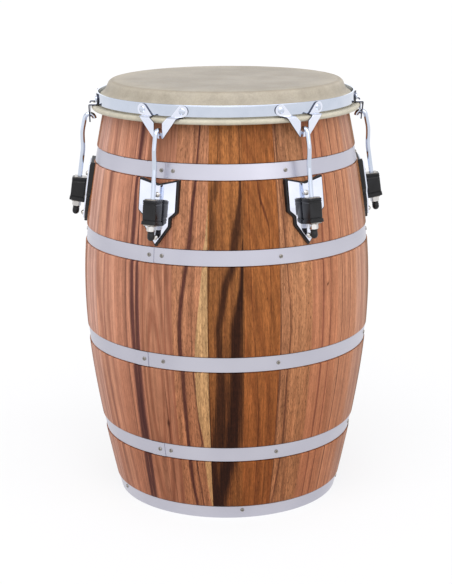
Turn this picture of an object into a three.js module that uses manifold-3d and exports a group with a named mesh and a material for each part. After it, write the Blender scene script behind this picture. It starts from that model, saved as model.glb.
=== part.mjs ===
import * as THREE from 'three';
import { mergeVertices } from 'three/addons/utils/BufferGeometryUtils.js';
import Module from 'manifold-3d';

// A barrel drum. Millimetres, +Z up, origin at the centre of the foot.

// Clearances
const CLEARANCE = 0.3;
const OVERRUN = 6;
const JOIN = 0.5;

// Shell of staves
const SHELL_HEIGHT = 708.7;
const FOOT_RADIUS = 191;
const BELLY_RADIUS = 243.8;
const TOP_RADIUS = 195.5;
const BELLY_HEIGHT = 365;
const CURVE_SHARE = 0.7;
const WALL = 12;
const BEARING_ROUND = 8;
const BEARING_DEPTH = 18.7;

// Bands let into the shell
const BAND_WIDTH = 25;
const BAND_THICKNESS = 1.5;
const BAND_INSET = 1.6;
const FOOT_BAND_WIDTH = 22;
const BAND_CENTRE_SHARES = [0.171, 0.397, 0.643, 0.831];

// Rim, skin and flesh hoop
const RIM_STANDOFF = 9.9;
const RIM_THICKNESS = 3;
const RIM_WIDTH = 19;
const RIM_DROP = 16;
const SKIN_THICKNESS = 2;
const HOOP_ROD_RADIUS = 1.7;
const HOOP_STANDOFF = 4.7;
const SHOULDER_END = THREE.MathUtils.degToRad(20);
const SKIRT_FLARE_SHARES = [0.3, 0.62];
const SKIRT_TURN = 7.5;
const BEAD_START = THREE.MathUtils.degToRad(110);
const BEAD_END = THREE.MathUtils.degToRad(-190);

// Tuning stations, lug and rod
const STATIONS = 6;
const FIRST_STATION_ANGLE = THREE.MathUtils.degToRad(32.5);
const HOOK_RISE = 121;
const ROD_RADIUS = 3.8;
const ROD_STANDOFF = 20.4;
const ROD_BELOW_LUG = 20;
const LUG_TALL = 42;
const CORE_WIDTH = 20;
const CORE_DEPTH = 17;
const NECK_WIDTH = 14;
const SLEEVE_WIDTH = 25.5;
const SLEEVE_DEPTH = 26;
const SLEEVE_ROUND = 2.5;

// Hook at the top of the rod
const CURL_RADIUS = 8.2;
const CURL_OFFSET = 0.8;
const CURL_DROP = 28.7;
const CURL_START = THREE.MathUtils.degToRad(12);
const CURL_END = THREE.MathUtils.degToRad(175);
const KNEE_SHARE = 0.435;
const LEG_SHARE = 0.175;
const BEND_HANDLE_SHARE = 0.33;

// Nut and cap on the threaded end
const NUT_ACROSS_FLATS = 13;
const NUT_TALL = 8.5;
const CAP_RADIUS = 5.75;
const CAP_LENGTH = 14.5;
const CAP_END = 3;

// Side plate, its gasket and bolts
const PLATE_WIDTH = 65;
const PLATE_WAIST = 43;
const PLATE_TALL = 100;
const PLATE_THICKNESS = 2.5;
const PLATE_NOTCH = 8;
const PLATE_SIDE_END_SHARE = 0.475;
const PLATE_WAIST_START_SHARE = 0.572;
const PLATE_WAIST_END_SHARE = 0.703;
const GASKET_THICKNESS = 4;
const GASKET_MARGIN = 2.75;
const BOLT_RADIUS = 2.5;
const BOLT_HEAD_RADIUS = 4.3;
const BOLT_HEAD_TALL = 4.5;
const BOLT_WASHER_RADIUS = 7;
const BOLT_WASHER_THICKNESS = 1.5;
const BOLT_NUT_RADIUS = 5;
const BOLT_NUT_TALL = 5;
const BOLT_PLACE_SHARES = [0.28, -0.4];

// Bracket between rim and hook
const BRACKET_THICKNESS = 2.2;
const BRACKET_STANDOFF = 10.7;
const BRACKET_DROP = 33.1;
const BRACKET_FOOT_WIDTH = 17;
const SLOT_WIDTH = 15;
const SLOT_TALL = 24;
const FOLD_SPREADS = [17, 31.8];
const EAR_RADIUS = 9;
const EAR_START = THREE.MathUtils.degToRad(-68);
const EAR_END = THREE.MathUtils.degToRad(141);
const RIVET_SPREAD = 35.7;
const RIVET_RADIUS = 5.2;
const RIVET_TALL = 2.2;

// Counts of faces
const SHELL_SIDES = 48;
const ROD_SIDES = 8;
const SMALL_SIDES = 8;
const NUT_SIDES = 6;
const SPAN_PIECES = 2;
const BEARING_STEPS = 3;
const BEAD_STEPS = 6;
const BEND_STEPS = 3;
const CURL_STEPS = 8;
const EAR_STEPS = 5;

const wasm = await Module();
wasm.setup();

// Solids

function solidOf(geometry) {
  const bare = geometry.clone();
  bare.deleteAttribute('normal');
  bare.deleteAttribute('uv');
  const merged = mergeVertices(bare);
  const corners = merged.index.array;
  const kept = [];
  for (let i = 0; i < corners.length; i += 3) {
    const [a, b, c] = corners.slice(i, i + 3);
    if (a !== b && b !== c && c !== a) kept.push(a, b, c);
  }
  return new wasm.Manifold(new wasm.Mesh({
    numProp: 3,
    vertProperties: Float32Array.from(merged.attributes.position.array),
    triVerts: Uint32Array.from(kept),
  }));
}

function geometryOf(solid) {
  const mesh = solid.getMesh();
  const geometry = new THREE.BufferGeometry();
  geometry.setAttribute('position', new THREE.BufferAttribute(mesh.vertProperties, 3));
  geometry.setIndex(new THREE.BufferAttribute(mesh.triVerts, 1));
  geometry.computeVertexNormals();
  return geometry;
}

function joined(geometries) {
  return geometries.map(solidOf).reduce((whole, piece) => whole.add(piece));
}

// A closed outline of (radius, height) points turned about the Z axis
function revolve(outline, sides = SHELL_SIDES) {
  const points = THREE.ShapeUtils.isClockWise(outline) ? [...outline].reverse() : [...outline];
  const lathe = new THREE.LatheGeometry([...points, points[0]], sides);
  return lathe.rotateX(Math.PI / 2);
}

// Each point of a line moved to the left of its direction of travel
function offsetLine(points, distance, closed = false) {
  const last = points.length - 1;
  const heading = (from, to) => to.clone().sub(from).normalize();
  return points.map((point, i) => {
    const before = i > 0 ? points[i - 1] : closed && points[last];
    const after = i < last ? points[i + 1] : closed && points[0];
    const inward = before ? heading(before, point) : heading(point, after);
    const onward = after ? heading(point, after) : inward;
    const side = new THREE.Vector2(-inward.y, inward.x);
    const middle = new THREE.Vector2(-onward.y, onward.x).add(side).normalize();
    return point.clone().addScaledVector(middle, distance / middle.dot(side));
  });
}

function arcPoints(centre, radius, from, to, steps) {
  return Array.from({ length: steps + 1 }, (_, i) => {
    const angle = THREE.MathUtils.lerp(from, to, i / steps);
    return new THREE.Vector2(
      centre.x + radius * Math.cos(angle),
      centre.y + radius * Math.sin(angle),
    );
  });
}

function extrude(points, depth) {
  return new THREE.ExtrudeGeometry(new THREE.Shape(points), {
    depth,
    bevelEnabled: false,
  });
}

// The corner radius of a polygon whose flats lie at the given distance
function aroundFlats(distance, sides) {
  return distance / Math.cos(Math.PI / sides);
}

// Shell and bands

function radiusAt(height) {
  const above = height > BELLY_HEIGHT;
  const span = above ? SHELL_HEIGHT - BELLY_HEIGHT : BELLY_HEIGHT;
  const endRadius = above ? TOP_RADIUS : FOOT_RADIUS;
  const reach = Math.abs(height - BELLY_HEIGHT) / span;
  const bend = (share) => Math.hypot(1, share / CURVE_SHARE) - 1;
  return BELLY_RADIUS - (BELLY_RADIUS - endRadius) * bend(reach) / bend(1);
}

const bandBottoms = BAND_CENTRE_SHARES.map((share) => share * SHELL_HEIGHT - BAND_WIDTH / 2);
const grooveDepth = BAND_INSET + BAND_THICKNESS + CLEARANCE;
const roundCentre = new THREE.Vector2(
  radiusAt(SHELL_HEIGHT) - BEARING_ROUND,
  SHELL_HEIGHT - BEARING_ROUND,
);

// Heights of the bare wood between the grooves, one list for each stretch
function woodStretches() {
  const starts = [FOOT_BAND_WIDTH, ...bandBottoms.map((z) => z + BAND_WIDTH)];
  const ends = [...bandBottoms, SHELL_HEIGHT - BEARING_DEPTH];
  return starts.map((start, i) => {
    const low = start + CLEARANCE;
    const high = i < bandBottoms.length ? ends[i] - CLEARANCE : ends[i];
    return Array.from({ length: SPAN_PIECES + 1 }, (_, k) => (
      THREE.MathUtils.lerp(low, high, k / SPAN_PIECES)));
  });
}

function woodPoint(height, offset = 0) {
  return new THREE.Vector2(radiusAt(height) + offset, height);
}

function shellOutline() {
  const stretches = woodStretches();
  const outer = [woodPoint(0, -grooveDepth)];
  stretches.forEach((heights, i) => {
    outer.push(woodPoint(heights[0], -grooveDepth));
    outer.push(...heights.map((z) => woodPoint(z)));
    if (i < bandBottoms.length) outer.push(woodPoint(heights.at(-1), -grooveDepth));
  });
  outer.pop();
  const edge = arcPoints(roundCentre, BEARING_ROUND, SHOULDER_END, Math.PI / 2, BEARING_STEPS);
  return [...outer, ...edge, ...innerLine().reverse()];
}

// The inside of the wall, from the foot up
function innerLine() {
  const middles = woodStretches().map((heights) => heights[1]);
  const bands = bandBottoms.map((z) => z + BAND_WIDTH / 2);
  const heights = [0, ...middles, ...bands, SHELL_HEIGHT].sort((a, b) => a - b);
  return heights.map((z) => woodPoint(z, -WALL));
}

function innerRadiusAt(height) {
  const line = innerLine();
  const i = line.findIndex((point) => point.y > height);
  const [low, high] = [line[i - 1], line[i]];
  return THREE.MathUtils.mapLinear(height, low.y, high.y, low.x, high.x);
}

// The outer form of the wood without grooves, grown by a clearance
function woodEnvelope() {
  const heights = woodStretches().flat();
  const outer = heights.map((z) => woodPoint(z, CLEARANCE));
  return revolve([
    new THREE.Vector2(0, heights[0]),
    ...outer,
    new THREE.Vector2(0, heights.at(-1)),
  ]);
}

function bandGeometry(bottom, width) {
  const top = bottom + width;
  return revolve([
    woodPoint(bottom, -BAND_INSET - BAND_THICKNESS),
    woodPoint(bottom, -BAND_INSET),
    woodPoint(top, -BAND_INSET),
    woodPoint(top, -BAND_INSET - BAND_THICKNESS),
  ]);
}

// Rim, skin and flesh hoop

const rimTop = SHELL_HEIGHT - RIM_DROP;
const rimBottom = rimTop - RIM_WIDTH;
const rimInner = radiusAt(rimBottom) + RIM_STANDOFF;
const rimRadius = rimInner + RIM_THICKNESS;
const hoopBore = HOOP_ROD_RADIUS + CLEARANCE;
const beadRadius = hoopBore + SKIN_THICKNESS;
const hoopCentre = new THREE.Vector2(
  rimRadius + HOOP_STANDOFF,
  rimBottom - BRACKET_THICKNESS - CLEARANCE - beadRadius,
);

function rimGeometry() {
  return revolve([
    new THREE.Vector2(rimInner, rimBottom),
    new THREE.Vector2(rimRadius, rimBottom),
    new THREE.Vector2(rimRadius, rimTop),
    new THREE.Vector2(rimInner, rimTop),
  ]);
}

// The side of the skin that faces the shell and the hoop
function skinInnerLine() {
  const under = SHELL_HEIGHT + CLEARANCE;
  const bend = BEARING_ROUND + CLEARANCE;
  const shoulder = arcPoints(roundCentre, bend, Math.PI / 2, SHOULDER_END, BEARING_STEPS);
  const start = shoulder.at(-1);
  const wall = rimInner - CLEARANCE - SKIN_THICKNESS;
  const turn = new THREE.Vector2(wall, rimTop - SKIRT_TURN);
  const flare = new THREE.Vector2(
    THREE.MathUtils.lerp(start.x, turn.x, SKIRT_FLARE_SHARES[0]),
    THREE.MathUtils.lerp(start.y, turn.y, SKIRT_FLARE_SHARES[1]),
  );
  const bore = hoopBore / Math.cos((BEAD_START - BEAD_END) / BEAD_STEPS / 2);
  return [
    new THREE.Vector2(0, under),
    ...shoulder,
    flare,
    turn,
    new THREE.Vector2(wall, hoopCentre.y + hoopBore),
    ...arcPoints(hoopCentre, bore, BEAD_START, BEAD_END, BEAD_STEPS),
  ];
}

function skinGeometry() {
  const inner = skinInnerLine();
  const outer = offsetLine(inner, SKIN_THICKNESS);
  return revolve([...inner, ...outer.reverse()]);
}

function hoopGeometry() {
  const turn = 2 * Math.PI;
  return revolve(arcPoints(hoopCentre, HOOP_ROD_RADIUS, 0, turn, BEAD_STEPS).slice(0, -1));
}

// Tuning station. In its frame the station faces -Y, so a radius lies along -Y.
// The lug's own axes are x across, y up along the wood, z out of it.

const curlHeight = rimBottom - CURL_DROP;
const lugHeight = curlHeight - HOOK_RISE;
const plateHalf = PLATE_TALL / 2;
const lugTilt = Math.atan(
  (radiusAt(lugHeight - plateHalf) - radiusAt(lugHeight + plateHalf)) / PLATE_TALL);
const lugRadius = radiusAt(lugHeight);
const lugMatrix = new THREE.Matrix4()
  .makeTranslation(0, -lugRadius, lugHeight)
  .multiply(new THREE.Matrix4().makeRotationX(Math.PI / 2 - lugTilt));

function inLugFrame(geometry) {
  return geometry.applyMatrix4(lugMatrix);
}

// A prism that stands along the lug's y axis, from an outline in x and z
function uprightPrism(shape, low, high) {
  const prism = new THREE.ExtrudeGeometry(shape, {
    depth: high - low,
    bevelEnabled: false,
    curveSegments: SMALL_SIDES,
  });
  return prism.rotateX(Math.PI / 2).translate(0, high, 0);
}

const plateBack = CLEARANCE + GASKET_THICKNESS + CLEARANCE;
const plateFace = plateBack + PLATE_THICKNESS;
const lugTop = LUG_TALL / 2;
const rodBottom = -lugTop - ROD_BELOW_LUG;
const rodBore = aroundFlats(ROD_RADIUS + CLEARANCE, SMALL_SIDES);

function platePoints() {
  const half = PLATE_WIDTH / 2;
  const waist = PLATE_WAIST / 2;
  const at = (share) => plateHalf - share * PLATE_TALL;
  const right = [
    [half, plateHalf],
    [half, at(PLATE_SIDE_END_SHARE)],
    [waist, at(PLATE_WAIST_START_SHARE)],
    [waist, at(PLATE_WAIST_END_SHARE)],
  ];
  const left = right.map(([x, y]) => [-x, y]).reverse();
  const all = [[0, plateHalf - PLATE_NOTCH], ...right, [0, -plateHalf], ...left];
  return all.map(([x, y]) => new THREE.Vector2(x, y)).reverse();
}

// Where the inner face of the wall lies on the lug's z axis, at a place along its y axis
function innerWallAt(along) {
  const height = lugHeight + along * Math.cos(lugTilt);
  const tangent = lugRadius - along * Math.sin(lugTilt);
  return (innerRadiusAt(height) - tangent) * Math.cos(lugTilt);
}

function boltGeometry(along) {
  const facetDrop = BOLT_WASHER_RADIUS * Math.tan(Math.PI / SHELL_SIDES);
  const deepest = Math.min(
    innerWallAt(along - BOLT_WASHER_RADIUS), innerWallAt(along + BOLT_WASHER_RADIUS));
  const seat = deepest - facetDrop - CLEARANCE;
  const washer = seat - BOLT_WASHER_THICKNESS;
  const end = washer - BOLT_NUT_TALL;
  const outline = [
    [0, end],
    [BOLT_NUT_RADIUS, end],
    [BOLT_NUT_RADIUS, washer],
    [BOLT_WASHER_RADIUS, washer],
    [BOLT_WASHER_RADIUS, seat],
    [BOLT_RADIUS, seat],
    [BOLT_RADIUS, plateBack + PLATE_THICKNESS / 2],
    [BOLT_HEAD_RADIUS, plateBack + PLATE_THICKNESS / 2],
    [BOLT_HEAD_RADIUS, plateFace + BOLT_HEAD_TALL / 2],
    [BOLT_HEAD_RADIUS / 2, plateFace + BOLT_HEAD_TALL],
    [0, plateFace + BOLT_HEAD_TALL],
  ].map(([x, y]) => new THREE.Vector2(x, y));
  return revolve(outline, SMALL_SIDES).translate(0, along, 0);
}

const boltPlaces = BOLT_PLACE_SHARES.map((share) => share * PLATE_TALL);

function boltHoles() {
  const radius = aroundFlats(BOLT_RADIUS + CLEARANCE, SMALL_SIDES);
  const depth = WALL + GASKET_THICKNESS + 2 * OVERRUN;
  return boltPlaces.map((along) => {
    const hole = new THREE.CylinderGeometry(radius, radius, depth, SMALL_SIDES);
    return inLugFrame(hole.rotateX(Math.PI / 2).translate(0, along, -WALL / 2));
  });
}

function sidePlateGeometry() {
  const plate = extrude(platePoints(), PLATE_THICKNESS).translate(0, 0, plateBack);
  return inLugFrame(geometryOf(joined([plate, ...boltPlaces.map(boltGeometry)])));
}

function gasketGeometry() {
  const outline = offsetLine(platePoints(), -GASKET_MARGIN, true);
  const deep = GASKET_THICKNESS + CLEARANCE + OVERRUN;
  const block = inLugFrame(extrude(outline, deep).translate(0, 0, -OVERRUN));
  const cut = boltHoles().reduce((rest, hole) => rest.subtract(solidOf(hole)), solidOf(block));
  return geometryOf(cut.subtract(solidOf(woodEnvelope())));
}

function lugCoreGeometry() {
  const half = CORE_WIDTH / 2;
  const neck = NECK_WIDTH / 2;
  const back = ROD_STANDOFF - CORE_DEPTH / 2;
  const front = ROD_STANDOFF + CORE_DEPTH / 2;
  const foot = plateFace + CLEARANCE;
  const shape = new THREE.Shape([
    [-neck, foot], [neck, foot], [neck, back], [half, back],
    [half, front], [-half, front], [-half, back], [-neck, back],
  ].map(([x, y]) => new THREE.Vector2(x, y)));
  const bore = arcPoints(new THREE.Vector2(0, ROD_STANDOFF), rodBore, 0, 2 * Math.PI, SMALL_SIDES);
  shape.holes.push(new THREE.Path(bore.slice(0, -1)));
  return inLugFrame(uprightPrism(shape, -lugTop, lugTop));
}

function lugSleeveGeometry() {
  const outerX = SLEEVE_WIDTH / 2;
  const innerX = CORE_WIDTH / 2 + CLEARANCE;
  const slotX = NECK_WIDTH / 2 + CLEARANCE;
  const back = ROD_STANDOFF - SLEEVE_DEPTH / 2;
  const front = ROD_STANDOFF + SLEEVE_DEPTH / 2;
  const pocketBack = ROD_STANDOFF - CORE_DEPTH / 2 - CLEARANCE;
  const pocketFront = ROD_STANDOFF + CORE_DEPTH / 2 + CLEARANCE;
  const r = SLEEVE_ROUND;
  const right = [
    [slotX, back], [outerX - r, back], [outerX, back + r], [outerX, front - r], [outerX - r, front],
  ];
  const pocket = [[innerX, pocketFront], [innerX, pocketBack], [slotX, pocketBack]];
  const mirror = (points) => points.map(([x, y]) => [-x, y]).reverse();
  const outline = [...right, ...mirror(right), ...mirror(pocket), ...pocket];
  const shape = new THREE.Shape(outline.map(([x, y]) => new THREE.Vector2(x, y)));
  return inLugFrame(uprightPrism(shape, -lugTop, lugTop));
}

function nutGeometry() {
  const corners = aroundFlats(NUT_ACROSS_FLATS / 2, NUT_SIDES);
  const centre = new THREE.Vector2(0, ROD_STANDOFF);
  const hexagon = arcPoints(centre, corners, 0, 2 * Math.PI, NUT_SIDES);
  const shape = new THREE.Shape(hexagon.slice(0, -1));
  const bore = arcPoints(centre, rodBore, 0, 2 * Math.PI, SMALL_SIDES);
  shape.holes.push(new THREE.Path(bore.slice(0, -1)));
  const top = -lugTop - CLEARANCE;
  return inLugFrame(uprightPrism(shape, top - NUT_TALL, top));
}

function capGeometry() {
  const top = -lugTop - CLEARANCE - NUT_TALL - CLEARANCE;
  const end = top - CAP_LENGTH;
  const floor = Math.min(end + CAP_END, rodBottom - CLEARANCE);
  const outline = [
    [rodBore, top],
    [CAP_RADIUS, top],
    [CAP_RADIUS, end + CAP_RADIUS / 2],
    [CAP_RADIUS / 2, end],
    [0, end],
    [0, floor],
    [rodBore, floor],
  ].map(([x, y]) => new THREE.Vector2(x, y));
  const cap = revolve(outline, SMALL_SIDES).rotateX(-Math.PI / 2);
  return inLugFrame(cap.translate(0, 0, ROD_STANDOFF));
}

// Hook

const bracketBack = rimRadius + BRACKET_STANDOFF;
const bracketMiddle = bracketBack + BRACKET_THICKNESS / 2;
const curlRadiusPlace = bracketMiddle + CURL_OFFSET;

class RadialArc extends THREE.Curve {
  getPoint(t, target = new THREE.Vector3()) {
    const angle = THREE.MathUtils.lerp(CURL_START, CURL_END, t);
    const radius = curlRadiusPlace + CURL_RADIUS * Math.cos(angle);
    return target.set(0, -radius, curlHeight + CURL_RADIUS * Math.sin(angle));
  }
}

// A point on the straight leg below the curl, which leans outwards on its way down
function legPoint(drop) {
  const start = new RadialArc().getPoint(0);
  const down = new THREE.Vector3(0, -Math.sin(CURL_START), -Math.cos(CURL_START));
  return start.addScaledVector(down, drop);
}

function rodPoint(along) {
  return new THREE.Vector3(0, along, ROD_STANDOFF).applyMatrix4(lugMatrix);
}

function sweep(curve, steps) {
  const flats = arcPoints(new THREE.Vector2(), ROD_RADIUS, 0, 2 * Math.PI, ROD_SIDES);
  return new THREE.ExtrudeGeometry(new THREE.Shape(flats.slice(0, -1)), {
    steps,
    extrudePath: curve,
  });
}

function hookGeometry() {
  const bottom = rodPoint(rodBottom);
  const aboveLug = rodPoint(lugTop);
  const climb = curlHeight - aboveLug.z;
  const kneeAlong = lugTop + KNEE_SHARE * climb / Math.cos(lugTilt);
  const knee = rodPoint(kneeAlong);
  const legLength = LEG_SHARE * climb;
  const bendEnd = legPoint(legLength);
  const handle = BEND_HANDLE_SHARE * (bendEnd.z - knee.z);
  const bend = new THREE.CubicBezierCurve3(
    knee,
    rodPoint(kneeAlong + handle),
    legPoint(legLength + handle),
    bendEnd,
  );
  return geometryOf(joined([
    sweep(new THREE.LineCurve3(bottom, rodPoint(kneeAlong + JOIN)), 1),
    sweep(bend, BEND_STEPS),
    sweep(new THREE.LineCurve3(legPoint(legLength + JOIN), legPoint(-JOIN)), 1),
    sweep(new RadialArc(), CURL_STEPS),
  ]));
}

// Bracket

const bracketBottom = rimBottom - BRACKET_DROP;
const shelfBottom = rimBottom - BRACKET_THICKNESS;
const earHeight = rimBottom + EAR_RADIUS;

// The bracket seen from outside: foot, arm, round ear, arm's inner edge and slot
function bracketPoints(saddle) {
  const ear = new THREE.Vector2(RIVET_SPREAD, earHeight);
  const right = [
    new THREE.Vector2(BRACKET_FOOT_WIDTH / 2, bracketBottom),
    new THREE.Vector2(FOLD_SPREADS[1], shelfBottom),
    ...arcPoints(ear, EAR_RADIUS, EAR_START, EAR_END, EAR_STEPS),
    new THREE.Vector2(FOLD_SPREADS[0], rimBottom),
    new THREE.Vector2(SLOT_WIDTH / 2, bracketBottom + SLOT_TALL),
    new THREE.Vector2(SLOT_WIDTH / 2, saddle),
  ];
  const left = right.map((p) => new THREE.Vector2(-p.x, p.y)).reverse();
  return [...right, ...left];
}

function column(radius, low, high) {
  return revolve([
    new THREE.Vector2(0, low),
    new THREE.Vector2(radius, low),
    new THREE.Vector2(radius, high),
    new THREE.Vector2(0, high),
  ]);
}

function block(lowRadius, highRadius, low, high) {
  const width = 2 * (RIVET_SPREAD + EAR_RADIUS + OVERRUN);
  const box = new THREE.BoxGeometry(width, highRadius - lowRadius, high - low);
  return box.translate(0, -(lowRadius + highRadius) / 2, (low + high) / 2);
}

function rivetGeometry(side) {
  const seat = rimRadius + CLEARANCE + BRACKET_THICKNESS;
  const angle = side * Math.asin(RIVET_SPREAD / seat);
  const low = -BRACKET_THICKNESS / 2;
  const rivet = revolve([
    [0, low],
    [RIVET_RADIUS, low],
    [RIVET_RADIUS, RIVET_TALL / 2],
    [RIVET_RADIUS / 2, RIVET_TALL],
    [0, RIVET_TALL],
  ].map(([x, y]) => new THREE.Vector2(x, y)), SMALL_SIDES);
  return rivet.rotateX(Math.PI / 2).translate(0, -seat, earHeight).rotateZ(angle);
}

function bracketGeometry() {
  const underside = CURL_RADIUS - ROD_RADIUS;
  const reach = CURL_OFFSET + BRACKET_THICKNESS / 2;
  const chord = CURL_RADIUS * (1 - Math.cos((CURL_END - CURL_START) / CURL_STEPS / 2));
  const saddle = curlHeight + Math.sqrt(underside ** 2 - reach ** 2) - CLEARANCE - chord;
  const rimOutside = rimRadius + CLEARANCE;
  const earFace = rimOutside + BRACKET_THICKNESS;
  const front = bracketBack + BRACKET_THICKNESS;
  const start = rimOutside - OVERRUN;
  const high = rimTop + EAR_RADIUS;
  const deep = extrude(bracketPoints(saddle), front - start)
    .rotateX(Math.PI / 2)
    .translate(0, -start, 0);
  const top = solidOf(block(start, front + OVERRUN, rimBottom, high))
    .subtract(solidOf(column(earFace, rimBottom - OVERRUN, high + OVERRUN)));
  return geometryOf(solidOf(deep)
    .subtract(top)
    .subtract(solidOf(block(start - OVERRUN, bracketBack, bracketBottom - OVERRUN, shelfBottom)))
    .subtract(solidOf(column(rimOutside, bracketBottom, high)))
    .add(solidOf(rivetGeometry(1)))
    .add(solidOf(rivetGeometry(-1))));
}

// Shell with its bolt holes

const stationAngles = Array.from({ length: STATIONS }, (_, i) => i * 2 * Math.PI / STATIONS);

function shellGeometry() {
  let shell = solidOf(revolve(shellOutline()));
  for (const angle of stationAngles) {
    for (const hole of boltHoles()) shell = shell.subtract(solidOf(hole.rotateZ(angle)));
  }
  return geometryOf(shell);
}

// Materials

function material(color, roughness, metalness) {
  return new THREE.MeshStandardMaterial({ color, roughness, metalness });
}

const wood = material(0x9c5a2b, 0.45, 0);
const satinSteel = material(0xc9cad3, 0.35, 1);
const chrome = material(0xd6d8de, 0.12, 1);
const rawhide = material(0xc4bdb0, 0.7, 0);
const rubber = material(0x17171a, 0.6, 0);
const steel = material(0x9a9ca2, 0.4, 1);

// Assembly

function addMesh(parent, name, geometry, finish) {
  const mesh = new THREE.Mesh(geometry, finish.clone());
  mesh.name = name;
  parent.add(mesh);
}

const drum = new THREE.Group();
drum.rotation.z = FIRST_STATION_ANGLE;

addMesh(drum, 'shell', shellGeometry(), wood);
addMesh(drum, 'foot_band', bandGeometry(0, FOOT_BAND_WIDTH), satinSteel);
bandBottoms.forEach((bottom, i) => {
  addMesh(drum, `band_${i + 1}`, bandGeometry(bottom, BAND_WIDTH), satinSteel);
});
addMesh(drum, 'rim', rimGeometry(), chrome);
addMesh(drum, 'skin', skinGeometry(), rawhide);
addMesh(drum, 'flesh_hoop', hoopGeometry(), steel);

const stationPieces = [
  ['rim_bracket', bracketGeometry(), chrome],
  ['tuning_hook', hookGeometry(), chrome],
  ['hook_nut', nutGeometry(), steel],
  ['nut_cap', capGeometry(), rubber],
  ['side_plate', sidePlateGeometry(), chrome],
  ['plate_gasket', gasketGeometry(), rubber],
  ['lug_core', lugCoreGeometry(), steel],
  ['lug_sleeve', lugSleeveGeometry(), rubber],
];

stationAngles.forEach((angle, i) => {
  const station = new THREE.Group();
  station.rotation.z = angle;
  for (const [name, geometry, finish] of stationPieces) {
    addMesh(station, `${name}_${i + 1}`, geometry, finish);
  }
  drum.add(station);
});

const part = new THREE.Group();
part.add(drum);

export default part;
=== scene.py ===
import random
from math import asin, atan, cos, hypot, pi, radians, sin, sqrt

import bmesh
import bpy
import numpy as np
from mathutils import Matrix, Vector, noise


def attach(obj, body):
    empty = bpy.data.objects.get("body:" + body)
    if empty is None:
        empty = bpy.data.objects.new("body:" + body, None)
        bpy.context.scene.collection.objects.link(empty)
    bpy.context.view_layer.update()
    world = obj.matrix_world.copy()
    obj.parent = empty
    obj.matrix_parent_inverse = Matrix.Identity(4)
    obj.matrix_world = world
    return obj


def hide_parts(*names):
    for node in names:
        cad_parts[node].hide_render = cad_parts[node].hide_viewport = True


# A barrel drum of staves with metal bands, a rawhide skin and six hooked tuning rods. Metres, +Z up.

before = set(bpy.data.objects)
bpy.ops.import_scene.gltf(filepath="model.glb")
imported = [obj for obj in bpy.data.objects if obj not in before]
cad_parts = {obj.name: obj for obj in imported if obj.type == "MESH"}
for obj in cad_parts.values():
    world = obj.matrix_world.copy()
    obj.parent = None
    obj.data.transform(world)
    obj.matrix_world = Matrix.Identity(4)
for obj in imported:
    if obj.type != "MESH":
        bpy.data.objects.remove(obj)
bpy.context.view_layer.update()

# Clearances, as on the solids
CLEARANCE = 0.0003

# Shell
SHELL_HEIGHT = 0.7087
FOOT_RADIUS = 0.191
BELLY_RADIUS = 0.2438
TOP_RADIUS = 0.1955
BELLY_HEIGHT = 0.365
CURVE_SHARE = 0.7
WALL = 0.012
BEARING_ROUND = 0.008
BEARING_DEPTH = 0.0187
STAVES = 26
STAVE_ANGLE = 2 * pi / STAVES
FRONT_STAVE_ANGLE = radians(-0.37)
JOINT_GAP = 0.00004
JOINT_CHAMFER = 0.0003
JOINT_DROP = 0.00006
EDGE_ROUND = 0.0008
STAVE_COLUMNS = 18
ROW_STEP = 0.0045

# Bands let into the shell
BAND_WIDTH = 0.025
BAND_INSET = 0.0016
BAND_THICKNESS = 0.0015
STRIP_THICKNESS = 0.001
STRIP_CHAMFER = 0.0003
FOOT_BAND_WIDTH = 0.022
BAND_CENTRE_SHARES = [0.171, 0.397, 0.643, 0.831]
LAP_LENGTH = 0.022
LAP_RAMP = 0.008
GROOVE = BAND_INSET + BAND_THICKNESS + CLEARANCE
GAP_OVER_BAND = 0.0009
GAP_UNDER_BAND = 0.0016

# Azimuths in degrees of each band's lap seam and of its screws, from the lowest band up
BAND_SEAMS = [-28.8, -32.3, -29.0, -26.0]
BAND_SCREWS = [
    [-31.2, -25.8, 21.7, 76.1, 134, -168, -108],
    [-34.1, -25.6, 20.1, 78.5, 137, -163, -104],
    [-31.0, -25.6, 21.1, 86.0, 148, -150, -90],
    [-27.6, -22.4, 25.2, 83.9, 143, -158, -99],
]
FOOT_SEAM = 110
FOOT_SCREWS = [7, 79, 151, -137, -65]
FOOT_SCREW_HEIGHT = 0.015
SCREW_RADIUS = 0.0033
SCREW_TALL = 0.0017

# Rim, skin and flesh hoop
RIM_STANDOFF = 0.0099
RIM_THICKNESS = 0.003
RIM_WIDTH = 0.019
RIM_DROP = 0.016
RIM_ROUND = 0.0009
SKIN_THICKNESS = 0.002
SKIN_WAVE = 0.00012
HOOP_ROD_RADIUS = 0.0017
HOOP_STANDOFF = 0.0047
SKIRT_FLARE_SHARES = (0.3, 0.62)
SKIRT_TURN = 0.0075
SKIRT_ROUND = 0.0045
SHOULDER_END = radians(20)
BEAD_START = radians(110)
BEAD_END = radians(-190)

# Tuning stations
STATIONS = 6
FIRST_STATION_ANGLE = radians(32.5)
HOOK_RISE = 0.121
ROD_RADIUS = 0.0038
ROD_CHAMFER = 0.0006
ROD_STANDOFF = 0.0204
ROD_BELOW_LUG = 0.02
LUG_TALL = 0.042
CORE_WIDTH = 0.02
CORE_DEPTH = 0.017
NECK_WIDTH = 0.014
SLEEVE_WIDTH = 0.0255
SLEEVE_DEPTH = 0.026
SLEEVE_ROUND = 0.0032
SLEEVE_SLANT = 0.1
CURL_RADIUS = 0.0082
CURL_OFFSET = 0.0008
CURL_DROP = 0.0287
CURL_START = radians(12)
CURL_END = radians(175)
KNEE_SHARE = 0.435
LEG_SHARE = 0.175
BEND_HANDLE_SHARE = 0.33
NUT_ACROSS_FLATS = 0.013
NUT_TALL = 0.0085
CAP_RADIUS = 0.00575
CAP_LENGTH = 0.0145
CAP_WALL = 0.002
CAP_LIP = 0.0004
CAP_GROOVE = (0.002, 0.0028, 0.0034, 0.0042)
PLATE_WIDTH = 0.065
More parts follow.
